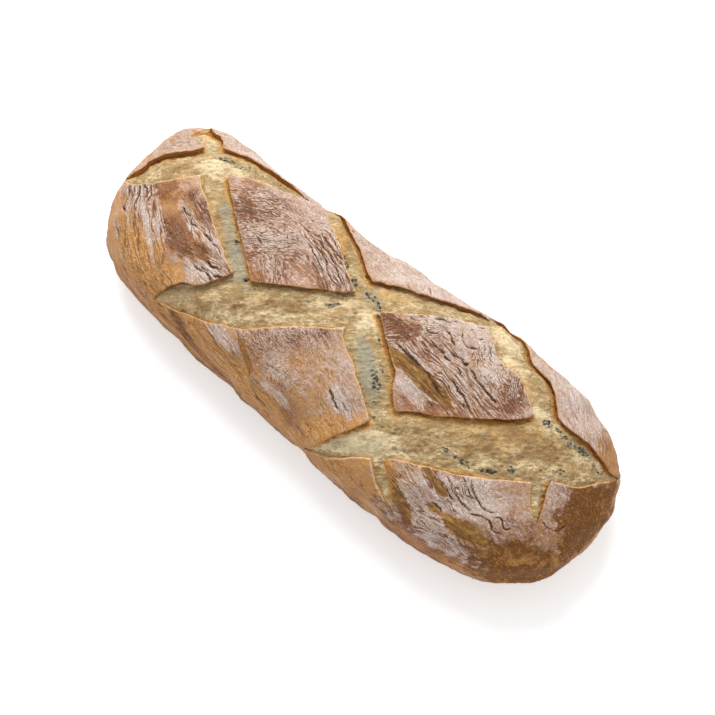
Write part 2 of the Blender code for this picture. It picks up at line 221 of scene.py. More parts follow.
# Fields of fine folds: centre, direction, half length, half width, spacing, how far they are
# drawn out, strength.
FOLDS = (
    ((-34, 26), -23, 46, 15, 1.9, 5, 1),
    ((-92, 28), 20, 30, 16, 1.7, 3, 0.9),
    ((-74, 12), 33, 26, 15, 1.7, 2.5, 0.9),
    ((-60, -2), -40, 24, 10, 1.7, 2.6, 0.8),
    ((-62, 40), 14, 26, 9, 1.7, 3, 0.8),
    ((62, 12), -8, 46, 18, 2.1, 5, 1),
    ((82, 34), -30, 28, 14, 2.3, 1.6, 0.9),
    ((34, 34), 24, 28, 13, 2, 2, 0.9),
    ((20, 14), 40, 18, 9, 1.9, 1.5, 0.9),
    ((98, 14), -2, 20, 14, 1.8, 3.5, 1),
    ((50, -8), -10, 24, 5, 1.7, 3, 0.5),
    ((104, -36), -16, 30, 12, 2, 4, 1),
    ((142, -36), 8, 30, 16, 2.2, 1.5, 0.4),
    ((114, -66), 6, 46, 12, 2.1, 4, 0.8),
    ((78, -50), -14, 18, 10, 1.9, 5, 0.8),
    ((168, -2), -30, 24, 20, 2.2, 1.5, 0.4),
    ((-170, -10), -50, 24, 15, 2.1, 5, 0.9),
    ((-112, -3), -22, 30, 10, 1.8, 5, 0.85),
    ((-94, -22), 0, 24, 9, 1.8, 5, 0.85),
    ((-148, -32), -42, 36, 22, 2.6, 6, 0.8),
    ((16, -38), -30, 30, 12, 1.9, 4, 0.6),
    ((-22, -30), -10, 40, 24, 1.7, 1.6, 0.65),
    ((-70, -66), -12, 100, 22, 2, 7, 0.8),
    ((40, -84), -8, 80, 20, 2, 7, 0.7),
    ((10, 66), -28, 70, 20, 2, 4, 0.55),
    ((140, 60), -42, 60, 20, 2, 4, 0.65),
    ((-174, 46), 12, 32, 22, 1.9, 3, 0.6),
    ((-110, 74), -10, 60, 16, 1.9, 4, 0.5),
)
FOLD_RELIEF = 0.42

# ---------------------------------------------------------------- colours (linear), by what they are, with painted shade and highlights among them
CRUST_GOLD = (0.500, 0.262, 0.108)
CRUST_RED = (0.250, 0.105, 0.055)
# Painted shade in the fine creases and crackle lines of the crust.
CREASE_SHADE = (0.170, 0.075, 0.040)
# Dark, well-baked crust, also used as painted shade in the cracks.
CRUST_DARK_AND_CRACK_SHADE = (0.080, 0.038, 0.022)
CRUST_BARE = (0.420, 0.195, 0.048)
CRUST_GLOW = (0.690, 0.385, 0.175)
CRUST_CARAMEL = (0.165, 0.062, 0.012)
PEEL_GOLD = (0.440, 0.240, 0.065)
PEEL_BROWN = (0.210, 0.100, 0.030)
FLOUR_TONE = (0.570, 0.415, 0.330)
FLOUR_WHITE = (0.800, 0.710, 0.660)
# Painted highlight along the near edges of the openings and on the walls under them.
RIM_HIGHLIGHT = (0.860, 0.600, 0.340)
WALL_GOLD = (0.600, 0.265, 0.065)
WALL_DARK = (0.115, 0.048, 0.015)
CRUMB_TONE = (0.420, 0.284, 0.130)
CRUMB_PALE = (0.800, 0.645, 0.390)
CRUMB_TOAST = (0.310, 0.175, 0.070)
CRUMB_GOLD = (0.620, 0.345, 0.100)
CRUMB_SCORCH = (0.330, 0.135, 0.026)
CRUMB_COOL = (0.360, 0.335, 0.245)
# Painted shade inside the crumb's open holes.
PORE_SHADE = (0.055, 0.045, 0.028)
CRUMB_STRAND = (0.880, 0.790, 0.580)
# Painted shade in the small pits of the crumb.
PIT_SHADE = (0.200, 0.125, 0.045)


# ---------------------------------------------------------------- random fields on the flat sheet
class Unevenness:
    """Smooth random numbers from 0 to 1 over a plane, the same on each run."""

    SIZE = 256
    made = {}

    def __init__(self, seed):
        self.table = np.random.default_rng(seed).random((self.SIZE, self.SIZE))

    @classmethod
    def of(cls, seed):
        if seed not in cls.made:
            cls.made[seed] = cls(seed)
        return cls.made[seed]

    def at(self, x, y):
        column = np.floor(x).astype(int)
        row = np.floor(y).astype(int)
        over = x - column
        up = y - row
        over = over * over * (3.0 - 2.0 * over)
        up = up * up * (3.0 - 2.0 * up)
        left, right = column % self.SIZE, (column + 1) % self.SIZE
        low, high = row % self.SIZE, (row + 1) % self.SIZE
        bottom = self.table[low, left] * (1.0 - over) + self.table[low, right] * over
        top = self.table[high, left] * (1.0 - over) + self.table[high, right] * over
        return bottom * (1.0 - up) + top * up


def grain(x, y, size, seed, layers=3):
    """Layered unevenness, about 0 to 1, with a feature size in millimetres."""
    total = np.zeros(np.shape(x))
    share = 0.5
    spent = 0.0
    for layer in range(layers):
        scale = 2.03 ** layer / size
        shifted_x = x * scale + 17.3 * layer
        shifted_y = y * scale + 5.1 * layer
        total = total + share * Unevenness.of(seed + layer).at(shifted_x, shifted_y)
        spent += share
        share *= 0.5
    return total / spent


def grain_on(flat, size, seed, layers=3):
    """The same for points of the flat sheet."""
    return grain(flat[:, 0], flat[:, 1], size, seed, layers)


def cell_gaps(x, y, size, seed):
    """Distance to the nearest and the second nearest of scattered points, and the nearest one's number."""
    table = Unevenness.of(seed).table
    other = Unevenness.of(seed + 1).table
    column = np.floor(x / size).astype(int)
    row = np.floor(y / size).astype(int)
    first = np.full(np.shape(x), 9.0)
    second = np.full(np.shape(x), 9.0)
    number = np.zeros(np.shape(x))
    for across in (-1, 0, 1):
        for up in (-1, 0, 1):
            i = (column + across) % Unevenness.SIZE
            j = (row + up) % Unevenness.SIZE
            gap = np.hypot(x / size - column - across - table[j, i], y / size - row - up - other[j, i])
            nearer = gap < first
            second = np.where(nearer, first, np.minimum(second, gap))
            number = np.where(nearer, table[i, j], number)
            first = np.where(nearer, gap, first)
    return first, second, number


def rise(low, high, x):
    """0 at low, 1 at high, smooth between."""
    t = np.clip((x - low) / (high - low), 0.0, 1.0)
    return t * t * (3.0 - 2.0 * t)


def turned(flat, centre, degrees):
    """Coordinates along and across a direction, from a centre."""
    cosine = math.cos(math.radians(degrees))
    sine = math.sin(math.radians(degrees))
    x = flat[:, 0] - centre[0]
    y = flat[:, 1] - centre[1]
    return x * cosine + y * sine, y * cosine - x * sine


def blot(flat, centre, degrees, half_length, half_width, seed=11):
    """An oval patch with a soft, uneven rim: 1 inside, 0 outside."""
    along, across = turned(flat, centre, degrees)
    reach = np.hypot(along / half_length, across / half_width)
    unevenness = min(1.1, 0.2 * half_width)
    reach = reach + unevenness * (grain_on(flat, 5.0, seed) - 0.5)
    return 1.0 - rise(0.65, 1.20, reach)


# ---------------------------------------------------------------- body and flat sheet, as in the solid
def through_stations(values, x):
    """The one smooth curve through the values at BODY_STATIONS."""
    curve = np.polyfit(np.array(BODY_STATIONS) / HALF_LENGTH, values, len(values) - 1)
    return np.polyval(curve, np.clip(x / HALF_LENGTH, -1.0, 1.0))


def section_table():
    """Cross-section as three columns: flat radius, radius in plan, height."""
    angle = np.linspace(0.0, math.pi, 2001)
    up = np.cos(angle)
    out = np.sin(angle)
    size = (np.abs(up) ** SECTION_POWER + out ** SECTION_POWER) ** (1.0 / SECTION_POWER)
    radius = out / size
    height = np.where(up > 0, CROWN, BELLY) * up / size
    step = np.hypot(np.diff(radius) * SECTION_REACH, np.diff(height))
    flat = np.concatenate([[0.0], np.cumsum(step)]) / SECTION_REACH
    return flat, radius, height


FLAT_RADIUS, PLAN_RADIUS, LEVEL = section_table()
FOOT_RADIUS = float(np.interp(FOOT, -LEVEL, FLAT_RADIUS))
FOOT_PLAN = float(np.interp(FOOT_RADIUS, FLAT_RADIUS, PLAN_RADIUS))


def plan_norm(across_x, across_y):
    return (np.abs(across_x) ** PLAN_POWER + np.abs(across_y) ** PLAN_POWER) ** (1.0 / PLAN_POWER)


def sheet_side(flat):
    """How far a point lies to the back (positive) or the front (negative), 1 near the shoulder."""
    x = flat[:, 0]
    return (flat[:, 1] - through_stations(MIDLINE, x)) / through_stations(HALF_WIDTHS, x)


def flat_radius(flat):
    """How far out a point of the flat sheet lies: 0 at the crown, 1 near the shoulder."""
    return plan_norm(flat[:, 0] / HALF_LENGTH, sheet_side(flat))


def wrap(flat):
    """Points of the flat sheet on the smooth body."""
    across_x = flat[:, 0] / HALF_LENGTH
    across_y = sheet_side(flat)
    reach = np.maximum(plan_norm(across_x, across_y), 1e-9)
    shrink = np.interp(reach, FLAT_RADIUS, PLAN_RADIUS) / reach
    body_x = HALF_LENGTH * across_x * shrink
    body_y = through_stations(HALF_WIDTHS, body_x) * across_y * shrink + through_stations(MIDLINE, body_x)
    return np.stack([body_x, body_y, np.interp(reach, FLAT_RADIUS, LEVEL) + FOOT], axis=1)


def wrap_normals(flat):
    step = 0.5
    along_x = wrap(flat + (step, 0.0)) - wrap(flat - (step, 0.0))
    along_y = wrap(flat + (0.0, step)) - wrap(flat - (0.0, step))
    normal = np.cross(along_x, along_y)
    return normal / np.linalg.norm(normal, axis=1)[:, None]


def ring_line(reach, count):
    """Points of the flat sheet at one flat radius, all round the loaf."""
    angle = np.linspace(0.0, 2.0 * math.pi, count, endpoint=False)
    ray = np.stack([np.cos(angle), np.sin(angle)], axis=1)
    across = reach * ray / plan_norm(ray[:, 0], ray[:, 1])[:, None]
    x = HALF_LENGTH * across[:, 0]
    y = through_stations(HALF_WIDTHS, x) * across[:, 1] + through_stations(MIDLINE, x)
    return np.stack([x, y], axis=1)


def smooth_curve(stations, values, x):
    """Cubic curve through (station, value) pairs, with slopes taken from the neighbours."""
    slopes = np.gradient(values, stations)
    x = np.clip(x, stations[0], stations[-1])
    cell = np.clip(np.searchsorted(stations, x) - 1, 0, len(stations) - 2)
    width = stations[cell + 1] - stations[cell]
    t = (x - stations[cell]) / width
    start = (1 + 2 * t) * (1 - t) ** 2 * values[cell] + t * (1 - t) ** 2 * width * slopes[cell]
    end = t * t * (3 - 2 * t) * values[cell + 1] + t * t * (t - 1) * width * slopes[cell + 1]
    return start + end


class Slash:
    """One slash: a strip of crumb between its front and its back edge."""

    def __init__(self, start, end, rows, seed):
        self.start = np.array(start, float)
        chord = np.array(end, float) - self.start
        self.length = float(np.hypot(*chord))
        self.along = chord / self.length
        self.across = np.array((-self.along[1], self.along[0]))
        self.stations, self.front, self.back = np.array(rows, float).T
        self.stations = self.stations * self.length / self.stations[-1]
        self.seed = seed

    def edges_at(self, along):
        front = smooth_curve(self.stations, self.front, along)
        back = smooth_curve(self.stations, self.back, along)
        open_part = np.clip((back - front) / FULL_DEPTH_WIDTH, 0.0, 1.0)
        front = front - FRONT_OVERHANG * open_part
        back = back + BACK_OVERHANG * open_part
        for number, (size, swing) in enumerate(EDGE_WAVES):
            waves = Unevenness.of(self.seed + number)
            front = front + swing * open_part * (waves.at(along / size, np.zeros_like(along)) - 0.5)
            back = back + swing * open_part * (waves.at(along / size, np.full_like(along, 9.5)) - 0.5)
        return front, back

    def measure(self, flat):
        """Distance to the strip (negative inside), place across it (0 front, 1 back), width."""
        along = (flat - self.start) @ self.along
        off = (flat - self.start) @ self.across
        front, back = self.edges_at(along)
        width = np.maximum(back - front, 0.1)
        beyond = along - np.clip(along, 0.0, self.length)
        distance = np.maximum(off - back, front - off)
        distance = np.where(beyond == 0.0, distance, np.hypot(beyond, np.maximum(distance, 0.0)))
        return distance, np.clip((off - front) / width, 0.0, 1.0), width

    def outline(self, spacing):
        """The strip's edge, once round, as points of the flat sheet."""
        along = np.linspace(0.0, self.length, max(int(self.length / spacing), 2) + 1)
        front, back = self.edges_at(along)
        there = self.start + along[:, None] * self.along + front[:, None] * self.across
        home = self.start + along[:, None] * self.along + back[:, None] * self.across
        return np.concatenate([there, home[-2:0:-1]])


STRIPS = [Slash(*shape, seed=40 + 3 * number) for number, shape in enumerate(SLASHES.values())]


def soft_minimum(values):
    """The least of several distances, with the corners between them rounded."""
    least = values.min(axis=0)
    return least - CORNER_SOFTNESS * np.log(np.exp((least - values) / CORNER_SOFTNESS).sum(axis=0)) * 0.5


class Beside:
    """Where points lie beside or in the slashes: distance, place across, width, openness."""

    def __init__(self, flat):
        measured = [strip.measure(flat) for strip in STRIPS]
        gaps = np.stack([gap for gap, _, _ in measured])
        self.distance = soft_minimum(gaps)
        weight = np.exp(-np.clip(gaps, -8.0, 40.0) / BLEND_REACH)
        weight /= weight.sum(axis=0)
        self.place = (weight * np.stack([place for _, place, _ in measured])).sum(axis=0)
        self.width = (weight * np.stack([width for _, _, width in measured])).sum(axis=0)
        self.openness = np.clip(self.width / FULL_DEPTH_WIDTH, 0.0, 1.0)
        self.rust = (weight * np.array(list(RUST.values()))[:, None]).sum(axis=0)


def slash_distance(flat):
    return soft_minimum(np.stack([strip.measure(flat)[0] for strip in STRIPS]))


# ---------------------------------------------------------------- relief
def lump_height(flat):
    height = np.zeros(len(flat))
    for length_x, length_y, size, phase in LUMPS:
        height += size * np.sin(2 * math.pi * (flat[:, 0] / length_x + flat[:, 1] / length_y) + phase)
    return height


class Crack:
    """One crack: a wavering line through its traced points, open in the middle and closed at its ends."""

    def __init__(self, reach, depth, traced, seed):
        traced = np.array(traced, float)
        passed = np.concatenate([[0.0], np.cumsum(np.hypot(*np.diff(traced, axis=0).T))])
        travelled = np.linspace(0.0, passed[-1], int(passed[-1] / CRACK_STEP) + 2)
        level = np.full(len(travelled), 7.7 * seed)
        line = np.stack([smooth_curve(passed, part, travelled) for part in traced.T], axis=1)
        heading = np.gradient(line, axis=0)
        heading /= np.linalg.norm(heading, axis=1)[:, None]
        self.sideways = np.stack([-heading[:, 1], heading[:, 0]], axis=1)
        waver = CRACK_SWAY * (grain(travelled, level, 4.5, 71) - 0.5)
        waver += JAG * (grain(travelled, level, 1.3, 73) - 0.5)
        self.line = line + waver[:, None] * self.sideways
        ends = np.minimum(travelled, passed[-1] - travelled)
        self.strength = rise(-1.0, 3.0, ends) * np.clip(2.0 * grain(travelled, level, 5.0, 75), 0.5, 1.4)
        self.reach = reach * CRACK_REACH + CRACK_LEAST
        self.depth = depth

    def near(self, points):
        return ((points > self.line.min(axis=0) - 4.0) & (points < self.line.max(axis=0) + 4.0)).all(axis=1)

    def measure(self, points):
        """Distance to the line, positive on its left, and its strength at the nearest place."""
        offsets = points[:, None, :] - self.line[None, :, :]
        nearest = np.hypot(offsets[..., 0], offsets[..., 1]).argmin(axis=1)
        offset = offsets[np.arange(len(points)), nearest]
        side = (offset * self.sideways[nearest]).sum(axis=1)
        ahead = np.sqrt(np.maximum((offset ** 2).sum(axis=1) - side ** 2, 0.0))
        gap = np.hypot(side, np.maximum(ahead - 0.5 * CRACK_STEP, 0.0))
        return gap * np.where(side < 0.0, -1.0, 1.0), self.strength[nearest]

    def mesh_points(self):
        """Rows of points along the crack, so that the mesh holds its narrow bottom."""
        return np.concatenate([self.line + share * self.reach * self.sideways for share in CRACK_ROWS])


OPEN_CRACKS = [Crack(*shape, seed=number) for number, shape in enumerate(CRACKS)]


def crack_lines(flat):
    """The traced lines: relief in millimetres, then how much of a point is painted shade in a crack, lip and
    raised fold.
    """
    height = np.zeros(len(flat))
    dark = np.zeros(len(flat))
    lips = np.zeros(len(flat))
    crest = np.zeros(len(flat))
    for crack in OPEN_CRACKS:
        near = crack.near(flat)
        gap, strength = crack.measure(flat[near])
        valley = strength * np.exp(-((gap / crack.reach) ** 2))
        lip = strength * np.exp(-(((np.abs(gap) - 2.4 * crack.reach) / (1.2 * crack.reach)) ** 2))
        height[near] += crack.depth * ((0.30 + 0.20 * np.sign(gap)) * lip - valley)
        if crack.depth > 0.0:
            dark[near] = np.maximum(dark[near], min(1.2 * crack.depth, 1.0) ** 0.5 * valley)
            lips[near] = np.maximum(lips[near], min(crack.depth, 1.0) * lip)
        else:
            crest[near] = np.maximum(crest[near], valley)
    return height, dark, lips, np.minimum(crest, 1.0)


def peeled(flat):
    """Spots where the floury skin has come off, with a crisp uneven outline: 1 inside, 0 outside."""
    total = np.zeros(len(flat))
    sway = 3.0 * (grain_on(flat, 5.0, 950) - 0.5)
    for centre, degrees, half_length, half_width in PEELED:
        along, across = turned(flat, centre, degrees)
        inward = (1.0 - (along / half_length) ** 2) * half_width - np.abs(across)
        total = np.maximum(total, rise(-0.3, 0.3, inward + sway))
    return total


def crack_gap(flat):
    """Distance to the nearest crack, as a share of its reach."""
    least = np.full(len(flat), 99.0)
    for crack in OPEN_CRACKS:
        near = crack.near(flat)
        gap, _ = crack.measure(flat[near])
        least[near] = np.minimum(least[near], np.abs(gap) / crack.reach)
    return least


def fold_places(flat):
    """How far along and across the strongest field of folds a point lies, in spacings, and its strength."""
    along = np.zeros(len(flat))
    across = np.zeros(len(flat))
    power = np.zeros(len(flat))
    best = np.full(len(flat), 0.001)
    second = np.zeros(len(flat))
    bend = 4.5 * (grain_on(flat, 15.0, 90) - 0.5)
    for number, (centre, degrees, half_length, half_width, spacing, drawn_out, strength) in enumerate(FOLDS):
        there_along, there_across = turned(flat, centre, degrees)
        weight = np.maximum(1.15 - np.hypot(there_along / half_length, there_across / half_width), 0.0)
        stronger = weight > best
        second = np.where(stronger, best, np.maximum(second, weight))
        along = np.where(stronger, there_along / (spacing * drawn_out) + 31.0 * number, along)
        across = np.where(stronger, (there_across + bend) / spacing, across)
        power = np.where(stronger, strength, power)
        best = np.maximum(best, weight)
    return along, across, power * rise(0.0, 0.3, best) * rise(0.0, 0.12, best - second)


def crackle_pattern(flat):
    """Fine crackle of the dry flour crust: height and crack mask, 0 to 1."""
    x = flat[:, 0] + 1.6 * (grain_on(flat, 3.4, 201) - 0.5)
    y = flat[:, 1] + 1.6 * (grain_on(flat, 3.4, 211) - 0.5)
    near, next_near, number = cell_gaps(x, y, 2.1, 221)
    crack = 1.0 - rise(0.03, 0.24, next_near - near)
    return 0.18 * (number - 0.5) - 0.26 * crack, crack


class CrustFields:
    """Everything that varies over the crust, worked out once for a set of sheet points."""

    def __init__(self, flat):
        self.flat = flat
        self.beside = Beside(flat)
        beside = self.beside
        outside = np.maximum(beside.distance, 0.0)
        self.fade = rise(0.0, FOOT_FADE, FOOT_RADIUS - flat_radius(flat))
        lip = beside.place * LIP_RISE * np.exp(-outside / LIP_REACH)
        drop = (1.0 - beside.place) * FRONT_DROP * np.exp(-outside / FRONT_REACH)
        cracks, self.dark_crack, self.crack_lip, self.crest = crack_lines(flat)
        self.fold_along, self.fold_across, self.fold = fold_places(flat)
        waves = grain(self.fold_along * 1.4, self.fold_across, 1.9, 120, layers=2)
        wrinkles = FOLD_RELIEF * self.fold * (1.0 - 2.0 * np.abs(2.0 * waves - 1.0))
        crackle, self.crack = crackle_pattern(flat)
        self.peel = peeled(flat)
        self.coarse = grain_on(flat, 11.0, 301, layers=4)
        rough = 0.6 * (grain_on(flat, 2.6, 311, layers=3) - 0.5)
        swells = (0.8 - 0.5 * rise(0.6, 0.95, flat_radius(flat))) * (self.coarse - 0.5)
        wrinkles *= 1.0 - 0.6 * self.peel
        top = (lip - drop) * beside.openness + cracks + wrinkles - PEEL_DEPTH * self.peel
        self.height = (top + crackle + rough + swells + lump_height(flat)) * self.fade
        slope = np.exp(-outside / OVERHANG_REACH)
        uneven = 0.70 + 0.6 * grain_on(flat, 6.0, 321)
        overhang = FRONT_OVERHANG + (BACK_OVERHANG - FRONT_OVERHANG) * beside.place ** 2
        self.overhang = overhang * uneven * beside.openness
        self.shift = self.overhang * slope

    def points(self):
        moved = self.flat + towards_slash(self.flat) * self.shift[:, None]
        return wrap(moved) + wrap_normals(self.flat) * self.height[:, None]


def towards_slash(flat):
    """Direction on the sheet in which the nearest slash lies."""
    step = 0.4
    slope_x = slash_distance(flat + (step, 0.0)) - slash_distance(flat - (step, 0.0))
    slope_y = slash_distance(flat + (0.0, step)) - slash_distance(flat - (0.0, step))
    slope = np.stack([slope_x, slope_y], axis=1)
    return -slope / np.maximum(np.linalg.norm(slope, axis=1), 1e-6)[:, None]


# ---------------------------------------------------------------- triangulation of the flat sheet
def staggered(spacing, low, high):
    """Points in staggered rows between two corners of the sheet."""
    rows = np.arange(low[1], high[1], spacing * math.sqrt(0.75))
    columns = np.arange(low[0], high[0], spacing)
    x, y = np.meshgrid(columns, rows)
    x = x + 0.5 * spacing * (np.arange(len(rows)) % 2)[:, None]
    return np.stack([x.ravel(), y.ravel()], axis=1)


def jittered(points, amount, seed):
    return points + np.random.default_rng(seed).uniform(-amount, amount, points.shape)


SHEET_LOW = (-310.0, -190.0)
SHEET_HIGH = (310.0, 190.0)


def triangulate(points, outline, holes=()):
    """Triangles between an outline and its holes, all counter-clockwise: corners, faces, sources."""
    corners = [Vector(point) for point in outline]
    regions = [list(range(len(outline)))]
    for hole in holes:
        regions.append(list(range(len(corners), len(corners) + len(hole))))
        corners += [Vector(point) for point in hole]
    corners += [Vector(point) for point in points]
    placed, _, faces, sources, _, inside = delaunay_2d_cdt(corners, [], regions, 1, 1e-4, True)
    kept = np.array([list(regions_in) == [0] for regions_in in inside])
    first_source = np.array([source[0] if source else -1 for source in sources])
    return np.array([tuple(point) for point in placed]), np.array(faces)[kept], first_source


def boundary_loops(faces):
    """The open edges of a set of faces, as closed rows of corner numbers in face order."""
    sides = np.concatenate([faces[:, (0, 1)], faces[:, (1, 2)], faces[:, (2, 0)]])
    size = int(sides.max()) + 1
    code = sides[:, 0].astype(np.int64) * size + sides[:, 1]
    back = sides[:, 1].astype(np.int64) * size + sides[:, 0]
    open_sides = sides[~np.isin(code, back)]
    following = dict(zip(open_sides[:, 0].tolist(), open_sides[:, 1].tolist()))
    loops = []
    while following:
        start, at = following.popitem()
        loop = [start]
        while at != start:
            loop.append(at)
            at = following.pop(at)
        loops.append(np.array(loop))
    return sorted(loops, key=len, reverse=True)


def add_object(name, data):
    made = bpy.data.objects.new(name, data)
    bpy.context.scene.collection.objects.link(made)
    return made


class MeshParts:
    """Collects points, faces and named values per point into one mesh."""

    def __init__(self, names):
        self.points = []
        self.faces = []
        self.values = {name: [] for name in names}
        self.count = 0

    def add_points(self, points, **values):
        numbers = np.arange(self.count, self.count + len(points))
        self.points.append(points)
        for name, store in self.values.items():
            store.append(np.broadcast_to(values.get(name, 0.0), (len(points),)))
        self.count += len(points)
        return numbers

    def add_faces(self, faces):
        self.faces.append(np.asarray(faces))

    def bridge(self, upper, lower):
        """Triangles between two closed rows of points of the same length."""
        upper_next = np.roll(upper, -1)
        lower_next = np.roll(lower, -1)
        self.add_faces(np.stack([upper_next, upper, lower], axis=1))
        self.add_faces(np.stack([upper_next, lower, lower_next], axis=1))

    def close_level(self, ring, ring_points):
        """Triangles from each side of a closed row of points to one point in its middle."""
        middle = self.add_points(ring_points.mean(axis=0)[None, :])
        self.add_faces(np.stack([ring, np.roll(ring, -1), np.repeat(middle, len(ring))], axis=1))

    def make(self, name, material):
        points = (np.concatenate(self.points) - (*LOAF_MIDDLE, 0.0)) * MM
        faces = np.concatenate(self.faces)
        mesh = bpy.data.meshes.new(name)
        mesh.from_pydata(points.tolist(), [], faces.tolist())
        for value, store in self.values.items():
            layer = mesh.attributes.new(value, "FLOAT", "POINT")
            layer.data.foreach_set("value", np.concatenate(store).astype(np.float32))
        mesh.materials.append(material)
        mesh.shade_smooth()
        return add_object(name, mesh)


# The solid is centred by the box round its relief, so its middle is a little off the sheet's.
LOAF_MIDDLE = (-0.1, 1.0)

# ---------------------------------------------------------------- where the crust is floury, baked or bare
# Patches on the flat sheet: centre, direction, half length, half width, then what they add in
# flour, in bareness and in baking.
CRUST_PATCHES = (
    # left end plate, from its wrinkled corner to its peeling edge
    ((-168, -4), 15, 12, 9, 0, -0.1, 0.45),
    ((-152, 5), -35, 14, 9, -0.5, 0.45, 0.25),
    ((-143, -26), -39, 31, 2.6, 0.38, -0.45, 0.05),
    ((-170, -39), -48, 19, 4, 0.3, -0.4, 0.2),
    ((-163, -28), -50, 18, 1.8, 0.45, -0.4, 0),
    ((-152, -38), -38, 24, 3, -0.2, 0.3, -0.1),
    ((-140, -5), -38, 14, 6, -0.35, 0.3, 0.1),
    ((-122, -20), -10, 11, 6, -0.2, 0, 0.3),
    ((-139, -18), -15, 8, 4, 0.35, -0.2, 0.1),
    ((-146, -14), -7, 13, 7, 0.3, 0, 0),
    ((-123, -19), -17, 15, 8, -0.15, 0, 0.15),
    ((-124, -15), -14, 28, 8, -0.4, 0.15, 0.15),
    ((-130, -40), -4, 34, 14, -0.3, 0.7, -0.35),
    ((-172, -18), -40, 18, 11, 0.15, 0, 0.1),
    ((-117, 3), -31, 23, 6, -0.05, 0, 0.35),
    ((-150, 16), -20, 30, 10, -0.12, 0, 0.15),
    ((-129, -2), -23, 16, 3.5, 0.3, 0, 0),
    ((-103, -8), -15, 11, 3.5, 0.35, 0, 0),
    ((-96, -26), 0, 14, 5, 0.4, 0, 0),
    ((-139, 11), -42, 9, 5, -0.05, 0.2, 0.25),
    ((-87, -19), 5, 11, 5, -0.15, 0, 0.35),
    ((-107, -18), -3, 11, 6, -0.3, 0.5, -0.05),
    ((-130, -4), -15, 36, 18, -0.2, 0, 0.1),
    # second plate
    ((-68, 22), -10, 62, 44, -0.07, -0.1, 0.44),
    ((-99, 19), -33, 15, 7, -0.15, 0.1, 0.25),
    ((-79, 12), 4, 14, 9, 0.25, 0, 0),
    ((-62, 26), -17, 11, 7, 0.2, 0, 0),
    ((-65, -8), 2, 7, 4, -0.3, 0.35, -0.05),
    ((-25, 15), 11, 10, 8, -0.12, 0, 0.3),
    # front plate
    ((-21, -22), 32, 36, 8, 0, -0.1, 0.35),
    ((-2, -37), -25, 22, 14, -0.08, 0.2, -0.3),
    ((-15, -57), -8, 14, 3.2, 0.45, -0.5, 0),
    ((-22, -43), -5, 18, 7, 0.15, 0, 0),
    ((25, -55), 47, 28, 8, -0.3, 0.65, -0.35),
    ((25, -30), -30, 14, 5, 0, 0, 0.3),
    ((23, -37), -28, 12, 2.4, 0.8, -0.6, 0),
    ((16, -38), -38, 12, 3.5, 0.3, -0.1, -0.6),
    ((-21, -65), -10, 34, 6, -0.3, 0.7, -0.1),
    # middle plate
    ((50, 2.5), -6, 24, 6, 0, 0, 0.2),
    ((51, -8.5), -8, 14, 3.4, 0.6, -0.2, 0),
    ((18, 14), 40, 18, 10, -0.4, 0, 0.8),
    ((66, 16), -10, 46, 26, -0.15, 0, 0.38),
    ((58, -13), 28, 24, 5, -0.15, 0, 0.35),
    ((98, 34), -35, 17, 9, -0.2, 0, 0.55),
    ((74, 37), -30, 14, 7, 0.22, 0, -0.2),
    ((53, 14), -13, 34, 12, 0.05, 0, 0.15),
    ((39, 39), 56, 24, 6, 0.12, 0, -0.1),
    # plates at the right end
    ((94, -57), -28, 18, 9, 0.1, 0, 0.1),
    ((73, -52), -28, 10, 3.4, -0.5, 0.9, -0.1),
    ((91, -64), -29, 15, 3.4, -0.5, 0.9, 0),
    ((118, -34), 21, 26, 14, 0.32, 0, 0.1),
    ((166, -32), 19, 32, 13, -0.15, 0.2, 0.3),
    ((174, -46), 25, 48, 14, -0.5, 1, 0.22),
    ((133, -81), 9, 30, 16, 0, 0, 0.25),
    ((129, -54), 9, 22, 5, 0, 0, -0.15),
    ((100, -57), -16, 18, 8, 0.05, -0.4, 0.6),
    ((136, -68), 9, 28, 7, 0.55, -0.9, 0),
    ((54, -82), 0, 14, 5, 0.2, -0.25, -0.1),
    ((112, -68), -2, 34, 10, 0.22, -0.55, 0.6),
    ((163, 0), -44, 17, 12, 0.12, -0.2, 0.35),
    ((193, 5), -59, 34, 26, -0.6, 1.1, 0.68),
    ((175, 19), 44, 24, 5, -0.1, 0, 0.45),
    ((191, -55), 31, 54, 16, -0.4, 0.9, 0.55),
    # flanks and back
    ((-76, -62), -4, 54, 15, -0.25, 0.55, -0.2),
    ((-64, -49), -4, 19, 4.5, 0.45, -0.6, 0.1),
    ((-45, -61), -8, 15, 4, -0.3, 0.6, -0.4),
    ((-98, -61), -22, 14, 3.5, 0.1, -0.2, 0.45),
    ((-80, -69), -12, 50, 4, -0.1, 0.1, 0.5),
    ((-170, -38), -30, 40, 20, -0.2, 0.5, -0.3),
    ((46, -68), 0, 34, 12, -0.2, 0.6, -0.1),
    ((10, 66), -25, 84, 28, 0.28, -0.2, -0.1),
    ((150, 70), -40, 58, 36, 0.28, -0.2, -0.1),
    ((-175, 44), 30, 32, 26, 0.18, -0.1, 0),
    ((-120, 70), 0, 62, 20, 0.28, -0.1, 0),
    ((196, 60), 60, 44, 9, -0.3, 0.6, 0.1),
    ((178, 56), 70, 26, 9, -0.45, 0.65, 0.1),
    ((166, 58), 70, 15, 6, -0.25, 0.35, 0.15),
    ((125, 56), -35, 22, 12, 0.14, -0.1, -0.05),
)


def painted(flat, patches, seed):
    total = np.zeros(len(flat))
    for number, (centre, degrees, half_length, half_width, amount) in enumerate(patches):
        total += amount * blot(flat, centre, degrees, half_length, half_width, seed=seed + number)
    return total


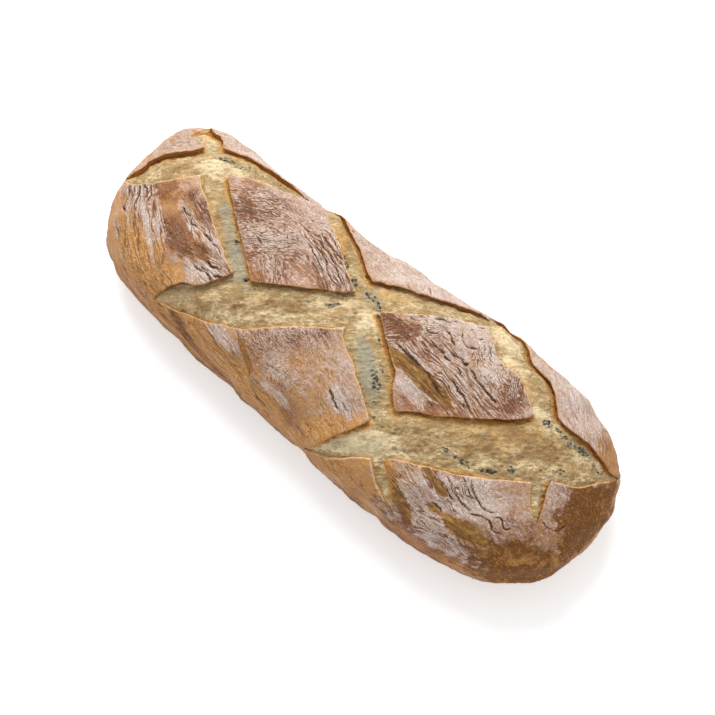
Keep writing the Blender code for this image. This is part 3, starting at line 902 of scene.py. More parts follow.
def crust_values(fields):
    """The crust's finish over the sheet, with painted shade in the cracks and painted highlight on the rims,
    as values from 0 to 1.
    """
    flat = fields.flat
    beside = fields.beside
    side = sheet_side(flat)
    reach = flat_radius(flat)
    places = [patch[:4] for patch in CRUST_PATCHES]
    blots = [blot(flat, *place, seed=420 + number) for number, place in enumerate(places)]
    add_flour, add_bare, add_bake = (
        sum(spot * patch[column] for spot, patch in zip(blots, CRUST_PATCHES)) for column in (4, 5, 6))
    streak_along, streak_across = turned(flat, (0, 0), -3)
    streaks = grain(streak_along / 22.0, streak_across / 3.2, 1.0, 401, layers=4)
    on_top = 1.0 - rise(0.70, 1.10, reach + 0.25 * (fields.coarse - 0.5))
    front_flank = rise(0.62, 0.95, -side + 0.2 * (fields.coarse - 0.5))
    bare = add_bare + 0.45 * front_flank * rise(0.42, 0.62, streaks) + 0.4 * rise(1.15, 1.55, reach)
    peel = fields.peel * (1.0 - fields.crest)
    bare = np.clip(np.maximum(bare, peel), 0.0, 1.0)
    flour = 0.30 + 0.16 * on_top + 0.7 * (fields.coarse - 0.5) + add_flour
    flour += 0.28 * rise(0.5, 0.9, side) - 0.35 * rise(0.85, 1.1, side) * rise(0.45, 0.65, streaks)
    # The lips of the cracks get flour white as a painted highlight.
    flour += 0.60 * fields.crack_lip - 0.20 * front_flank
    flour = np.clip(flour * (1.0 - 0.85 * bare) + 0.6 * fields.crest, 0.0, 1.0)
    # Darker towards the foot: browner crust there, with painted shade along the lower edge.
    bake = 0.42 + 0.50 * rise(1.20, 1.40, reach) + add_bake
    bake += 0.9 * (grain_on(flat, 20.0, 470, layers=4) - 0.5)
    # dent: painted shade in the cracks and in the fine crackle of the crust.
    dent = np.clip(fields.dark_crack + 0.15 * fields.crack, 0.0, 1.0)
    # Nearness to the edge of a wide opening: it carries the painted highlight along the near edges and the
    # golden edge under the ears.
    rim = np.exp(-np.maximum(beside.distance, 0.0) / 0.55) * rise(0.25, 0.75, beside.openness)
    rim *= 1.0 - 0.9 * blot(flat, (-88, -50), 16, 40, 12, seed=480)
    return {"flour": flour, "bare": bare, "bake": np.clip(bake, 0.0, 1.0), "dent": dent, "peel": peel,
            "rim": rim, "ear": beside.place, "fold": fields.fold,
            "fold_along": fields.fold_along, "fold_across": fields.fold_across}


# ---------------------------------------------------------------- crust
CRUST_VALUES = (
    "flour", "bare", "bake", "dent", "peel", "rim", "ear", "wall", "fold", "fold_along", "fold_across")
TOP_SPACING = 0.88
FINE_SPACING = 0.70
BACK_SPACING = 1.15
SIDE_SPACING = 2.4
EDGE_SPACING = 0.8
TOP_REACH = 1.08
BACK_FROM = 0.62
FINE_PLATES = (((-68, 22), -10, 50, 34), ((60, 24), -12, 58, 38))
UNDERSIDE_SPACING = 3.0
FOOT_POINTS = 420
CRACK_CLEAR = 3.2


def crust_sheet_points():
    """Points of the crust's mesh: closest on the plates that show best, widest on the sides."""
    rows = []
    for spacing, seed in ((FINE_SPACING, 1), (TOP_SPACING, 2), (BACK_SPACING, 3), (SIDE_SPACING, 4)):
        points = jittered(staggered(spacing, SHEET_LOW, SHEET_HIGH), 0.12 * spacing, seed)
        reach = flat_radius(points)
        side = sheet_side(points)
        fine = np.zeros(len(points), bool)
        for centre, degrees, half_length, half_width in FINE_PLATES:
            along, across = turned(points, centre, degrees)
            fine |= np.hypot(along / half_length, across / half_width) < 1.0
        back = side > BACK_FROM
        top = reach < TOP_REACH
        zone = {
            FINE_SPACING: top & fine & ~back,
            TOP_SPACING: top & ~fine & ~back,
            BACK_SPACING: top & back,
            SIDE_SPACING: ~top & (reach < FOOT_RADIUS - 0.02),
        }[spacing]
        points = points[zone]
        rows.append(points[(slash_distance(points) > 0.6 * spacing) & (crack_gap(points) > CRACK_CLEAR)])
    beside_cracks = np.concatenate([crack.mesh_points() for crack in OPEN_CRACKS])
    rows.append(beside_cracks[slash_distance(beside_cracks) > 0.4])
    return np.concatenate(rows)


def add_crust_skin(parts):
    """The outer skin with its openings, down to the foot line."""
    outline = ring_line(FOOT_RADIUS, FOOT_POINTS)
    holes = [strip.outline(EDGE_SPACING) for strip in STRIPS]
    flat, faces, _ = triangulate(crust_sheet_points(), outline, holes)
    used = np.unique(faces)
    renumber = np.full(len(flat), -1)
    renumber[used] = np.arange(len(used))
    flat = flat[used]
    faces = renumber[faces]
    fields = CrustFields(flat)
    points = fields.points()
    on_foot = flat_radius(flat) > FOOT_RADIUS - 1e-4
    points[:, 2] = np.where(on_foot, 0.0, np.maximum(points[:, 2], 0.0))
    values = crust_values(fields)
    numbers = parts.add_points(points, **values)
    parts.add_faces(numbers[faces])
    return flat, faces, fields, values, numbers


def add_rims(parts, flat, loops, fields, values, numbers):
    """The torn edge of the crust round each opening: over the lip and down into the crumb."""
    ends = []
    for loop in loops:
        edge = flat[loop]
        inward = towards_slash(edge)
        above = numbers[loop]
        for step, (share, depth) in enumerate(RIM_PROFILE):
            moved = edge + inward * (share * fields.overhang[loop])[:, None]
            uneven = 1.0 + 0.25 * (grain_on(edge, 2.2, 510 + step) - 0.5)
            height = fields.height[loop] - depth * uneven
            if depth == SHELL_DEPTH:
                height = np.full(len(loop), -SHELL_DEPTH)
            points = wrap(moved) + wrap_normals(edge) * height[:, None]
            kept = {name: value[loop] for name, value in values.items()}
            kept["wall"] = min(depth / WALL_HEIGHT, 1.0)
            below = parts.add_points(points, **kept)
            parts.bridge(above, below)
            above = below
        ends.append(above)
    return ends


def close_openings(parts, flat, loops, ends):
    """The hidden bottom of the crossing slashes, deep under the crumb, round the plates they cut free."""
    around, *plates = loops
    rows = [end[::-1] if loop is around else end for loop, end in zip(loops, ends)]
    _, faces, source = triangulate(np.zeros((0, 2)), flat[around][::-1], [flat[plate] for plate in plates])
    parts.add_faces(np.concatenate(rows)[source[faces]])


def underside_values(plan):
    """Baked, lightly floured underside with faint marks of the stone it lay on."""
    coarse = grain_on(plan, 14.0, 610, layers=4)
    return {
        "flour": np.clip(0.16 + 0.6 * (coarse - 0.5), 0.0, 1.0),
        "bare": np.clip(0.55 + 0.8 * (grain_on(plan, 30.0, 620) - 0.5), 0.0, 1.0),
        "bake": np.clip(0.65 + 0.6 * (coarse - 0.5), 0.0, 1.0),
        "dent": 0.25 * rise(0.50, 0.85, grain_on(plan, 5.0, 630)),
    }


def foot_share(plan):
    """How far out a point of the underside lies: 0 in the middle, 1 on the foot line."""
    return plan_norm(plan[:, 0] / HALF_LENGTH, sheet_side(plan)) / FOOT_PLAN


def add_underside(parts, foot_numbers, foot_plan):
    """The flat underside, dented a little by the stone, closed on the foot line."""
    grid = jittered(staggered(UNDERSIDE_SPACING, (-160, -80), (160, 80)), 0.4, 9)
    grid = grid[foot_share(grid) < 1.0 - 0.8 * UNDERSIDE_SPACING / 60.0]
    corners, faces, source = triangulate(grid, foot_plan)
    dent = 0.9 * rise(0.45, 0.75, grain_on(corners, 9.0, 640)) * rise(0.0, 0.15, 1.0 - foot_share(corners))
    points = np.column_stack([corners, dent])
    known = np.concatenate([foot_numbers, np.full(len(grid), -1)])
    numbers = known[source]
    fresh = numbers < 0
    values = {name: value[fresh] for name, value in underside_values(corners).items()}
    numbers[fresh] = parts.add_points(points[fresh], **values)
    parts.add_faces(numbers[faces][:, ::-1])


def make_crust(material):
    parts = MeshParts(CRUST_VALUES)
    flat, faces, fields, values, numbers = add_crust_skin(parts)
    loops = boundary_loops(faces)
    foot = next(loop for loop in loops if flat_radius(flat[loop]).min() > FOOT_RADIUS - 0.01)
    holes = [loop for loop in loops if loop is not foot]
    ends = add_rims(parts, flat, holes, fields, values, numbers)
    close_openings(parts, flat, holes, ends)
    foot_plan = parts.points[0][foot][:, :2]
    add_underside(parts, numbers[foot], foot_plan)
    return parts.make("crust", material)


# ---------------------------------------------------------------- crumb
CRUMB_VALUES = ("toast", "gold", "pale", "cool", "pore")
CRUMB_SPACING = 0.62
CRUMB_MARGIN = 2.5

TOAST_PATCHES = (
    ((116, 6), 36, 34, 10, 0.65), ((148, 25), 36, 24, 7, 0.5), ((-50, -22), 36, 26, 6, 0.28),
    ((70, -34), 30, 14, 5, 0.3), ((-90, -42), 20, 16, 5, 0.22), ((100, 24), -40, 14, 8, 0.15),
    ((-158, 20), 25, 22, 7, 0.2), ((-46, -48), -38, 12, 4, 1.3), ((-30, 12), 36, 18, 5, 0.2),
    ((-45, 42), -42, 16, 8, 1.2), ((-100, 0), -38, 36, 10, 0.5), ((-46, -16), 36, 30, 8, 0.25),
    ((86, -12), 36, 30, 8, 0.2), ((50, -50), 22, 24, 8, -0.5), ((30, 46), 30, 20, 4, 0.2),
)
PALE_PATCHES = (
    ((-136, 36), 0, 16, 9, 0.75), ((-2, 12), 20, 12, 7, 0.65), ((50, -49), 25, 28, 10, 1.3),
    ((82, 52), -40, 26, 7, 0.6), ((120, 32), 10, 16, 7, 0.45), ((-20, 8), 36, 14, 5, 0.4),
    ((-166, 62), -40, 14, 8, 0.5), ((155, 30), 38, 22, 4, 0.4), ((150, 6), -50, 14, 6, 0.3),
    ((40, 42), 30, 30, 3.5, 0.45), ((-106, 44), 20, 26, 4, 0.35), ((-60, -34), 36, 36, 4, 0.25),
    ((8, 8), -40, 10, 8, 0.4), ((-46, 43), -42, 15, 7, -0.7), ((-98, 3), -38, 36, 9, -0.35),
)
GOLD_PATCHES = (
    ((-6, 13), 40, 12, 4, 0.4), ((100, -30), 33, 28, 2.5, 0.5), ((-166, 62), -40, 10, 6, 0.2),
    ((110, 10), 36, 40, 12, 0.25), ((-60, -20), 36, 30, 6, 0.2), ((-150, 26), 30, 20, 8, 0.25),
    ((96, 42), -40, 16, 5, 0.3), ((26, 4), -40, 20, 4, 0.35), ((-100, -46), 25, 20, 6, 0.3),
    ((-46, 44), -42, 15, 5, 0.45), ((-173, 68), 18, 15, 3.5, 1.6), ((-43, -50), -42, 10, 4, 2),
    ((52, -36), 30, 14, 3, 0.25), ((150, 14), 40, 18, 5, 0.3), ((0, 30), 36, 20, 4, 0.25),
    ((-166, 58), -40, 10, 5, 0.2),
)
COOL_PATCHES = (
    ((-80, -8), -35, 16, 8, 1), ((-106, 14), -38, 18, 7, 0.4), ((20, -14), -38, 26, 8, 0.4),
    ((22, -12), -38, 22, 5, 0.75), ((52, -49), 25, 22, 8, 0.3), ((-100, 6), -38, 18, 8, 0.35),
    ((-4, 24), -50, 10, 6, 0.55), ((148, 36), 0, 24, 4, 0.5), ((-52, 44), -36, 18, 5, 0.35),
    ((30, -62), 36, 14, 5, 0.4), ((-32, -58), -38, 8, 4, 0.7), ((148, -6), -45, 10, 4, 0.35),
    ((-100, -44), 30, 12, 8, 0.35), ((-150, 50), 0, 10, 6, 0.3),
)
PORE_PATCHES = (
    # wide slash in front of the middle plate
    ((63, -31), 0, 3, 2, 0.6), ((76, -28), 0, 2.5, 1.5, 0.6), ((91, -22), 0, 6, 1.6, 0.9),
    ((103, -21), 10, 6, 2, 0.8), ((116, -16), 35, 8, 1.8, 1), ((126, -6), 0, 3, 2.5, 1.1),
    ((120, -8), 0, 2, 1, 0.6), ((140, 7), 40, 3, 1.5, 0.7), ((150, 13), 40, 5, 2, 0.7),
    ((114, 19), 0, 2, 1.5, 0.7),
    # along the plate at the far right
    ((125, 31), 0, 4, 3, 1), ((138, 32), -5, 9, 3, 0.85), ((153, 35), 8, 9, 3, 0.95),
    ((172, 34), 0, 8, 1.5, 0.7),
    # between the front plate and the middle plate
    ((27, -13), -40, 5, 2.5, 0.9), ((33, -18), -30, 4.5, 3, 1.15), ((29, -23), 0, 1.5, 1.5, 0.7),
    ((39, -27), 0, 2, 1.5, 0.8), ((29, -8), -40, 4, 1.5, 0.7), ((18, 4), -40, 4, 1.2, 0.6),
    ((4, 20), -50, 6, 2, 0.9), ((46, -34), -30, 8, 5, 0.3),
    # slash in front of the second plate
    ((-46, -10), 0, 3, 1.5, 0.6), ((-31, -2), 0, 2, 1.8, 1), ((-36, -6), 0, 3, 1, 0.5),
    ((-19, 5), 40, 6, 1.5, 0.9), ((-70, -14), 0, 2, 2, 0.9), ((-70, -43), 0, 2, 1, 0.5),
    ((-56, -12), 40, 14, 2, 0.3),
    # between the first two plates, and behind them
    ((-94, 5), -45, 8, 1.5, 0.6), ((-89, 1), 0, 2, 1.5, 0.6), ((-84, 8), -40, 10, 4, 0.3),
    ((-30, 32), -40, 3, 1.5, 0.9), ((-19, 25), -40, 4, 2, 0.9), ((-34, 35), -40, 3, 1, 0.6),
    ((-5, 24), 0, 6, 2, 0.9), ((-126, 47), 15, 16, 2.5, 0.65), ((-140, 45), 20, 8, 3, 0.6),
    ((-104, 55), -10, 8, 3, 0.5),
    # narrow slit at the front
    ((-34, -61), -50, 8, 3, 0.5),
)


class CrumbFields:
    """Relief and tone of the torn crumb on the flat sheet."""

    def __init__(self, flat):
        self.flat = flat
        beside = Beside(flat)
        place = beside.place
        depth = FLOOR_FRONT + (FLOOR_BACK - FLOOR_FRONT) * place ** 2
        depth *= np.maximum(beside.openness, TIP_DEPTH)
        depth *= 1.0 - 0.35 * rise(0.35, 0.9, sheet_side(flat))
        swell = CRUMB_SWELL * (1.0 - np.exp(np.minimum(beside.distance, 0.0) / CRUMB_SWELL_REACH))
        along, across = turned(flat, (0, 0), 39.6)
        lumps = grain(along / 1.7, across, 6.5, 700, layers=3)
        tears = grain(along / 3.4, across, 1.9, 710, layers=3)
        self.tear = rise(0.55, 0.8, 1.0 - np.abs(2.0 * tears - 1.0))
        webs = grain(along / 1.6, across, 3.4, 715, layers=2)
        webs = 1.0 - np.abs(2.0 * webs - 1.0)
        fine = grain_on(flat, 1.6, 720, layers=2)
        by_wall = rise(0.55, 1.0, place) * rise(-5.0, -1.0, beside.distance) * (beside.distance < 0.0)
        self.want = painted(flat, PORE_PATCHES, 730) * (0.4 + 1.2 * grain_on(flat, 4.0, 740))
        self.want = np.clip(self.want + 0.15 * by_wall, 0.0, 1.2)
        big, _, number = cell_gaps(along / 1.5, across, 2.3, 750)
        pore = (1.0 - rise(0.15, 0.5, big)) * (number < 0.02 + 0.7 * self.want)
        texture = 1.9 * (lumps - 0.5) + 0.9 * (webs - 0.5) - 0.4 * self.tear + 0.5 * (fine - 0.5) - 0.9 * pore
        level = swell - depth + texture * (0.35 + 0.65 * beside.openness)
        buried = rise(0.4, CRUMB_MARGIN, beside.distance)
        self.height = level * (1.0 - buried) - CRUMB_UNDER_CRUST * buried + lump_height(flat)
        self.beside = beside
        self.lumps = lumps

    def points(self):
        return wrap(self.flat) + wrap_normals(self.flat) * self.height[:, None]

    def values(self):
        flat = self.flat
        beside = self.beside
        coarse = grain_on(flat, 9.0, 770, layers=4)
        along, across = turned(flat, (0, 0), 39.6)
        streak = grain(along / 4.5, across, 2.4, 780, layers=3)
        toast = painted(flat, TOAST_PATCHES, 790) * (0.5 + 1.1 * streak)
        toast += 0.9 * (self.lumps - 0.5) + 0.3 * (streak - 0.5)
        pale = painted(flat, PALE_PATCHES, 800) + 0.5 * (coarse - 0.5)
        pale += 0.15 * rise(0.0, 3.0, -beside.distance)
        cool = painted(flat, COOL_PATCHES, 820) * (0.6 + 0.8 * streak)
        gold = painted(flat, GOLD_PATCHES, 840) + 0.6 * (coarse - 0.5)
        gold += 1.30 * beside.rust * rise(-8.5, -1.5, beside.distance) * rise(0.45, 0.85, beside.place)
        gold += 0.60 * rise(-3.0, -0.5, beside.distance) * rise(0.5, 0.1, beside.place)
        return {
            "toast": np.clip(toast, 0.0, 1.0),
            "gold": np.clip(gold, 0.0, 1.2),
            "pale": np.clip(pale, 0.0, 1.0),
            "cool": np.clip(cool, 0.0, 1.0),
            "pore": self.want,
        }


def make_crumb(material):
    """The crumb body: fine in the openings, wide-meshed under the crust, closed inside the loaf."""
    parts = MeshParts(CRUMB_VALUES)
    outline = ring_line(CRUMB_LIMIT, 140)
    fine = jittered(staggered(CRUMB_SPACING, SHEET_LOW, SHEET_HIGH), 0.15 * CRUMB_SPACING, 12)
    fine = fine[flat_radius(fine) < CRUMB_LIMIT - 0.03]
    fine = fine[slash_distance(fine) < CRUMB_MARGIN]
    wide = staggered(6.0, SHEET_LOW, SHEET_HIGH)
    wide = wide[(flat_radius(wide) < CRUMB_LIMIT - 0.03) & (slash_distance(wide) > CRUMB_MARGIN + 2.0)]
    flat, faces, _ = triangulate(np.concatenate([fine, wide]), outline)
    fields = CrumbFields(flat)
    points = fields.points()
    numbers = parts.add_points(points, **fields.values())
    parts.add_faces(numbers[faces])
    rim = boundary_loops(faces)[0][::-1]
    parts.close_level(numbers[rim], points[rim])
    return parts.make("crumb", material)


# ---------------------------------------------------------------- materials
def add_node(tree, kind, settings=(), numbered=(), **named):
    """One node: its type, its settings, then values or links of its sockets, by number or by name."""
    node = tree.nodes.new(kind)
    for name, value in dict(settings).items():
        setattr(node, name, value)
    sockets = list(dict(numbered).items())
    sockets += [(name.replace("_", " "), value) for name, value in named.items()]
    for key, value in sockets:
        connect(tree, value, node.inputs[key])
    return node


def connect(tree, value, socket):
    """A link to a socket where the value comes from a node, else the plain value."""
    if isinstance(value, Value):
        value = value.socket
    if isinstance(value, bpy.types.NodeSocket):
        tree.links.new(value, socket)
    else:
        socket.default_value = value


class Value:
    """A number socket that can be used in sums."""

    def __init__(self, tree, socket):
        self.tree = tree
        self.socket = socket

    def math(self, operation, other, swap=False):
        terms = (other, self) if swap else (self, other)
        node = add_node(self.tree, "ShaderNodeMath", {"operation": operation}, enumerate(terms))
        return Value(self.tree, node.outputs[0])

    def __add__(self, other):
        return self.math("ADD", other)

    def __mul__(self, other):
        return self.math("MULTIPLY", other)

    __radd__ = __add__
    __rmul__ = __mul__

    def __sub__(self, other):
        return self.math("SUBTRACT", other)

    def __rsub__(self, other):
        return self.math("SUBTRACT", other, swap=True)

    def __abs__(self):
        return self.math("ABSOLUTE", 0.0)

    def most(self, other):
        return self.math("MAXIMUM", other)

    def to_line(self, spacing):
        """Distance to the nearest of many level lines, one at each spacing."""
        return self.math("PINGPONG", 0.5 * spacing)

    def over(self, low, high):
        """0 below low, 1 above high, smooth between."""
        node = add_node(self.tree, "ShaderNodeMapRange", {"interpolation_type": "SMOOTHSTEP"},
                        Value=self, From_Min=low, From_Max=high)
        return Value(self.tree, node.outputs["Result"])


class Finish:
    """Builds one material's nodes."""

    def __init__(self, name):
        self.material = bpy.data.materials.new(name)
        self.material.use_nodes = True
        self.tree = self.material.node_tree
        self.shader = self.tree.nodes["Principled BSDF"]
        self.place = self.node("ShaderNodeTexCoord").outputs["Object"]

    def node(self, kind, settings=(), numbered=(), **named):
        return add_node(self.tree, kind, settings, numbered, **named)

    def read(self, kind, output, settings=(), **named):
        """One output of a node, as a value."""
        return Value(self.tree, self.node(kind, settings, **named).outputs[output])

    def painted(self, name):
        """A value stored on the mesh."""
        return self.read("ShaderNodeAttribute", "Fac", {"attribute_name": name})

    def drawn_out(self, stretch, degrees):
        """Coordinates in which patterns come out longer in one level direction."""
        node = self.node("ShaderNodeMapping", {"vector_type": "TEXTURE"}, Vector=self.place,
                         Rotation=(0.0, 0.0, math.radians(degrees)), Scale=(stretch, 1.0, 1.0))
        return node.outputs["Vector"]

    def noise(self, size, detail=3.0, roughness=0.55, stretch=1.0, degrees=0.0):
        """Noise with features of a size in millimetres."""
        return self.read("ShaderNodeTexNoise", "Fac", Vector=self.drawn_out(stretch, degrees),
                         Scale=1.0 / (size * MM), Detail=detail, Roughness=roughness)

    def fold_noise(self, size, detail=2.0):
        """Noise that follows the folds of the crust, in fold spacings."""
        place = self.node("ShaderNodeCombineXYZ", X=self.painted("fold_along"), Y=self.painted("fold_across"))
        return self.read("ShaderNodeTexNoise", "Fac", {"noise_dimensions": "2D"},
                         Vector=place.outputs["Vector"], Scale=1.0 / size, Detail=detail)

    def scattered(self, output, size, stretch=1.0, degrees=0.0):
        """Scattered points: the Distance to the nearest, or its Color, a number at random."""
        place = self.drawn_out(stretch, degrees)
        return self.read("ShaderNodeTexVoronoi", output, Vector=place, Scale=1.0 / (size * MM))

    def cracks(self, size, bend, stretch=1.0, degrees=0.0):
        """Distance to the walls of scattered cells, with walls bent by noise."""
        place = self.drawn_out(stretch, degrees)
        sway = self.node("ShaderNodeTexNoise", Vector=place, Scale=1.0 / (1.7 * size * MM), Detail=3.0)
        terms = enumerate((sway.outputs["Color"], (0.5, 0.5, 0.5)))
        centred = self.node("ShaderNodeVectorMath", {"operation": "SUBTRACT"}, terms)
        scaled = self.node("ShaderNodeVectorMath", {"operation": "SCALE"}, {0: centred.outputs["Vector"]},
                           Scale=bend * size * MM)
        terms = enumerate((place, scaled.outputs["Vector"]))
        moved = self.node("ShaderNodeVectorMath", {"operation": "ADD"}, terms)
        return self.read("ShaderNodeTexVoronoi", "Distance", {"feature": "DISTANCE_TO_EDGE"},
                         Vector=moved.outputs["Vector"], Scale=1.0 / (size * MM))

    def mix(self, share, first, second):
        """Colour between two colours, by a share from 0 to 1."""
        ends = ((*colour, 1.0) if isinstance(colour, tuple) else colour for colour in (first, second))
        node = self.node("ShaderNodeMix", {"data_type": "RGBA"}, zip((0, 6, 7), (share, *ends)))
        return node.outputs[2]

    def bump(self, height, depth):
        """Normal of a height field whose full swing is depth millimetres."""
        return self.node("ShaderNodeBump", Height=height, Distance=depth * MM, Strength=1.0).outputs["Normal"]

    def shade(self, **sockets):
        """Links and values of the shader's sockets."""
        for name, value in sockets.items():
            connect(self.tree, value, self.shader.inputs[name.replace("_", " ")])


# Direction in which the patterns of the crust are drawn out, near the length of the loaf.
FLOW = -8.0
BUMP_DEPTH = 0.8
WHITE = (1.0, 1.0, 1.0, 1.0)
FLOOR_TONE = (0.85, 0.85, 0.85)
FLOOR_GLOW = 0.45


def crust_finish():
    finish = Finish("crust")
    flour, bare, bake, dent, peel, rim, ear, wall, fold, _, fold_across = map(finish.painted, CRUST_VALUES)
    mottle = finish.noise(3.4, detail=5.0, roughness=0.65, stretch=1.5, degrees=FLOW) - 0.5
    speck = finish.noise(1.4, detail=2.0, roughness=0.7, stretch=1.8, degrees=FLOW) - 0.5
    streak = finish.noise(1.5, detail=3.0, roughness=0.6, stretch=6.0, degrees=FLOW) - 0.5
    grains = finish.scattered("Color", 0.75, stretch=1.4, degrees=FLOW) - 0.5

    wave = finish.fold_noise(2.4)
    wrinkle_gap = (fold_across + (wave - 0.5) * 4.5).to_line(1.0)
    broken = finish.fold_noise(1.5, detail=1.0).over(0.32, 0.54)
    wrinkle = (1.0 - wrinkle_gap.over(0.02, 0.24)) * broken
    crepe = 1.0 - abs(finish.fold_noise(1.0) - 0.5).over(0.01, 0.06)
    lines = wrinkle.most(crepe * 0.5) * fold
    network = 1.0 - finish.cracks(2.6, 1.4, stretch=1.4, degrees=FLOW).over(0.015, 0.10)
    network = network * finish.noise(7.0, detail=2.0).over(0.36, 0.54)
    fine_network = 1.0 - finish.cracks(1.5, 1.2, stretch=1.5, degrees=FLOW).over(0.02, 0.14)
    dried = 0.25 + (flour * 1.2).over(0.1, 0.9) * 0.75
    lines = lines.most(network * dried * (0.6 - fold * 0.3)).most(fine_network * dried * 0.45)
    ridge = wrinkle_gap.over(0.24, 0.5) * fold

    rough_patches = mottle * 1.2 + speck * 1.0 + grains * 0.5
    skin = finish.mix((bake + rough_patches).over(0.0, 1.0), CRUST_GOLD, CRUST_RED)
    skin = finish.mix((bake * 0.9 + speck * 1.4 + grains * 0.4).over(0.70, 1.25), skin, CRUST_DARK_AND_CRACK_SHADE)
    glowing = (streak * 2.2 + speck * 1.2 + grains * 0.9 + mottle).over(-0.35, 0.55)
    glow = finish.mix(glowing, CRUST_BARE, CRUST_GLOW)
    glaze = finish.mix((bake + rough_patches + streak * 2.4).over(0.20, 1.05), glow, CRUST_CARAMEL)
    skin = finish.mix((bare + mottle * 0.8 + streak * 0.5).over(0.25, 0.80) * 0.95, skin, glaze)
    held = 1.0 - bare * 0.65
    dusted = flour * 1.2 + 0.15 + speck * 0.9 + grains * 0.35 + mottle * 0.5 + streak * 0.9
    dusted = (dusted - lines * 0.70 - dent * 0.60 + ridge * 0.25).over(0.10, 0.80)
    colour = finish.mix(dusted * held * 0.92, skin, FLOUR_TONE)
    heavy = flour * 0.95 + 0.10 + grains * 0.5 + speck * 1.0 + mottle * 0.5 + streak * 0.5
    heavy = heavy + ridge * 0.35 - lines * 0.7 - dent * 0.6
    colour = finish.mix(heavy.over(0.50, 1.0) * 0.70, colour, FLOUR_WHITE)
    golden = (streak * 1.8 + speck * 1.2 + mottle * 1.4).over(-0.3, 0.45)
    peeled_tone = finish.mix(golden, PEEL_BROWN, PEEL_GOLD)
    colour = finish.mix((peel + speck * 0.7 + mottle * 0.3).over(0.30, 0.70) * 0.88, colour, peeled_tone)
    fleck = (grains * 0.8 + speck * 1.0 + streak * 1.8 + flour * 0.25).over(0.30, 0.60)
    colour = finish.mix(fleck * held * 0.55, colour, FLOUR_TONE)
    # Painted shade in the creases of the folds and in the crackle.
    colour = finish.mix((lines + speck * 0.4).over(0.20, 0.95) * 0.85, colour, CREASE_SHADE)
    # Painted shade in the cracks of the crust.
    colour = finish.mix((dent + speck * 0.4).over(0.22, 0.80) * 0.92, colour, CRUST_DARK_AND_CRACK_SHADE)
    # Painted highlight along the near edges of the openings.
    near_rim_highlight = (rim * (1.0 - ear) + mottle * 0.9).over(0.35, 0.8)
    colour = finish.mix(near_rim_highlight * 0.7, colour, RIM_HIGHLIGHT)
    ear_side = (rim * ear + mottle * 0.4).over(0.45, 0.9)
    colour = finish.mix(ear_side * 0.5, colour, WALL_GOLD)
    torn = finish.mix((wall + mottle * 0.5).over(0.12, 0.50), WALL_DARK, WALL_GOLD)
    # The walls under the near edges take the painted highlight as well.
    torn = finish.mix((ear + mottle * 0.3).over(0.3, 0.6), RIM_HIGHLIGHT, torn)
    colour = finish.mix(wall.over(0.08, 0.22), colour, torn)
    height = speck * 0.6 + grains * 0.12 + mottle * 0.6 + streak * 0.3
    height = height - lines * 0.55 + wrinkle_gap * fold * 0.6
    finish.shade(Base_Color=colour, Roughness=0.86 - bare * 0.30 + dusted * 0.06,
                 Normal=finish.bump(height, BUMP_DEPTH), Specular_IOR_Level=0.12)
    return finish.material


def crumb_finish():
    finish = Finish("crumb")
    toast, gold, pale, cool, pore = map(finish.painted, CRUMB_VALUES)
    mottle = finish.noise(2.6, detail=5.0, roughness=0.65, stretch=1.5, degrees=CAMERA_AZIMUTH) - 0.5
    fibre = finish.noise(1.2, detail=3.0, roughness=0.7, stretch=2.6, degrees=CAMERA_AZIMUTH) - 0.5
    speck = finish.noise(1.0, detail=2.0, roughness=0.7) - 0.5
    grains = finish.scattered("Color", 0.9, stretch=1.6, degrees=CAMERA_AZIMUTH) - 0.5
    lump = finish.noise(7.0, detail=3.0, roughness=0.6, stretch=1.8, degrees=CAMERA_AZIMUTH) - 0.5
    strand = finish.noise(3.0, detail=3.0, roughness=0.6, stretch=1.8, degrees=CAMERA_AZIMUTH) - 0.5
    strand = 1.0 - abs(strand).over(0.004, 0.035)
    paled = (pale + lump * 1.6 + mottle * 2.0 + fibre * 2.4 + grains * 0.4).over(-0.05, 0.95)
    colour = finish.mix(paled, CRUMB_TONE, CRUMB_PALE)
    toasted = (toast - lump * 2.2 - mottle * 1.2 + fibre * 1.8 + grains * 0.3).over(0.05, 1.0)
    colour = finish.mix(toasted * 0.9, colour, CRUMB_TOAST)
    cooled = cool + pore * 0.7 + speck * 0.8 + mottle * 1.4
    colour = finish.mix(cooled.over(0.12, 0.95) * 0.85, colour, CRUMB_COOL)
    golden = gold + lump * 1.2 + mottle * 0.8 + fibre * 1.2
    colour = finish.mix(golden.over(0.15, 0.85) * 0.9, colour, CRUMB_GOLD)
    colour = finish.mix(golden.over(0.75, 1.15) * 0.8, colour, CRUMB_SCORCH)
    colour = finish.mix(strand * (fibre * 2.0 + lump * 1.5 + 0.4).over(0.2, 0.8) * 0.45, colour, CRUMB_STRAND)
    # Painted shade in small pits of the crumb, which are also dented by the bump.
    pit = (speck * 2.0 + grains * 0.5 + pore * 0.35).over(0.44, 0.66)
    colour = finish.mix(pit * 0.6, colour, PIT_SHADE)
    bubble = finish.scattered("Distance", 1.9, stretch=1.5, degrees=CAMERA_AZIMUTH)
    small_bubble = finish.scattered("Distance", 1.1, stretch=1.4, degrees=CAMERA_AZIMUTH)
    room = pore * 0.46 + mottle * 1.1 + speck * 0.5
    open_hole = (room - bubble).over(-0.06, 0.14).most((room - small_bubble).over(-0.04, 0.16) * 0.8)
    # Painted shade inside the open holes of the crumb, which the bump also sinks.
    colour = finish.mix(open_hole * 0.92, colour, PORE_SHADE)
    height = mottle * 0.6 + fibre * 0.5 + speck * 0.4 + strand * 0.3 - pit * 0.4 - open_hole * 0.8
    finish.shade(Base_Color=colour, Roughness=0.82, Normal=finish.bump(height, BUMP_DEPTH),
                 Specular_IOR_Level=0.15, Subsurface_Weight=0.0)
    return finish.material


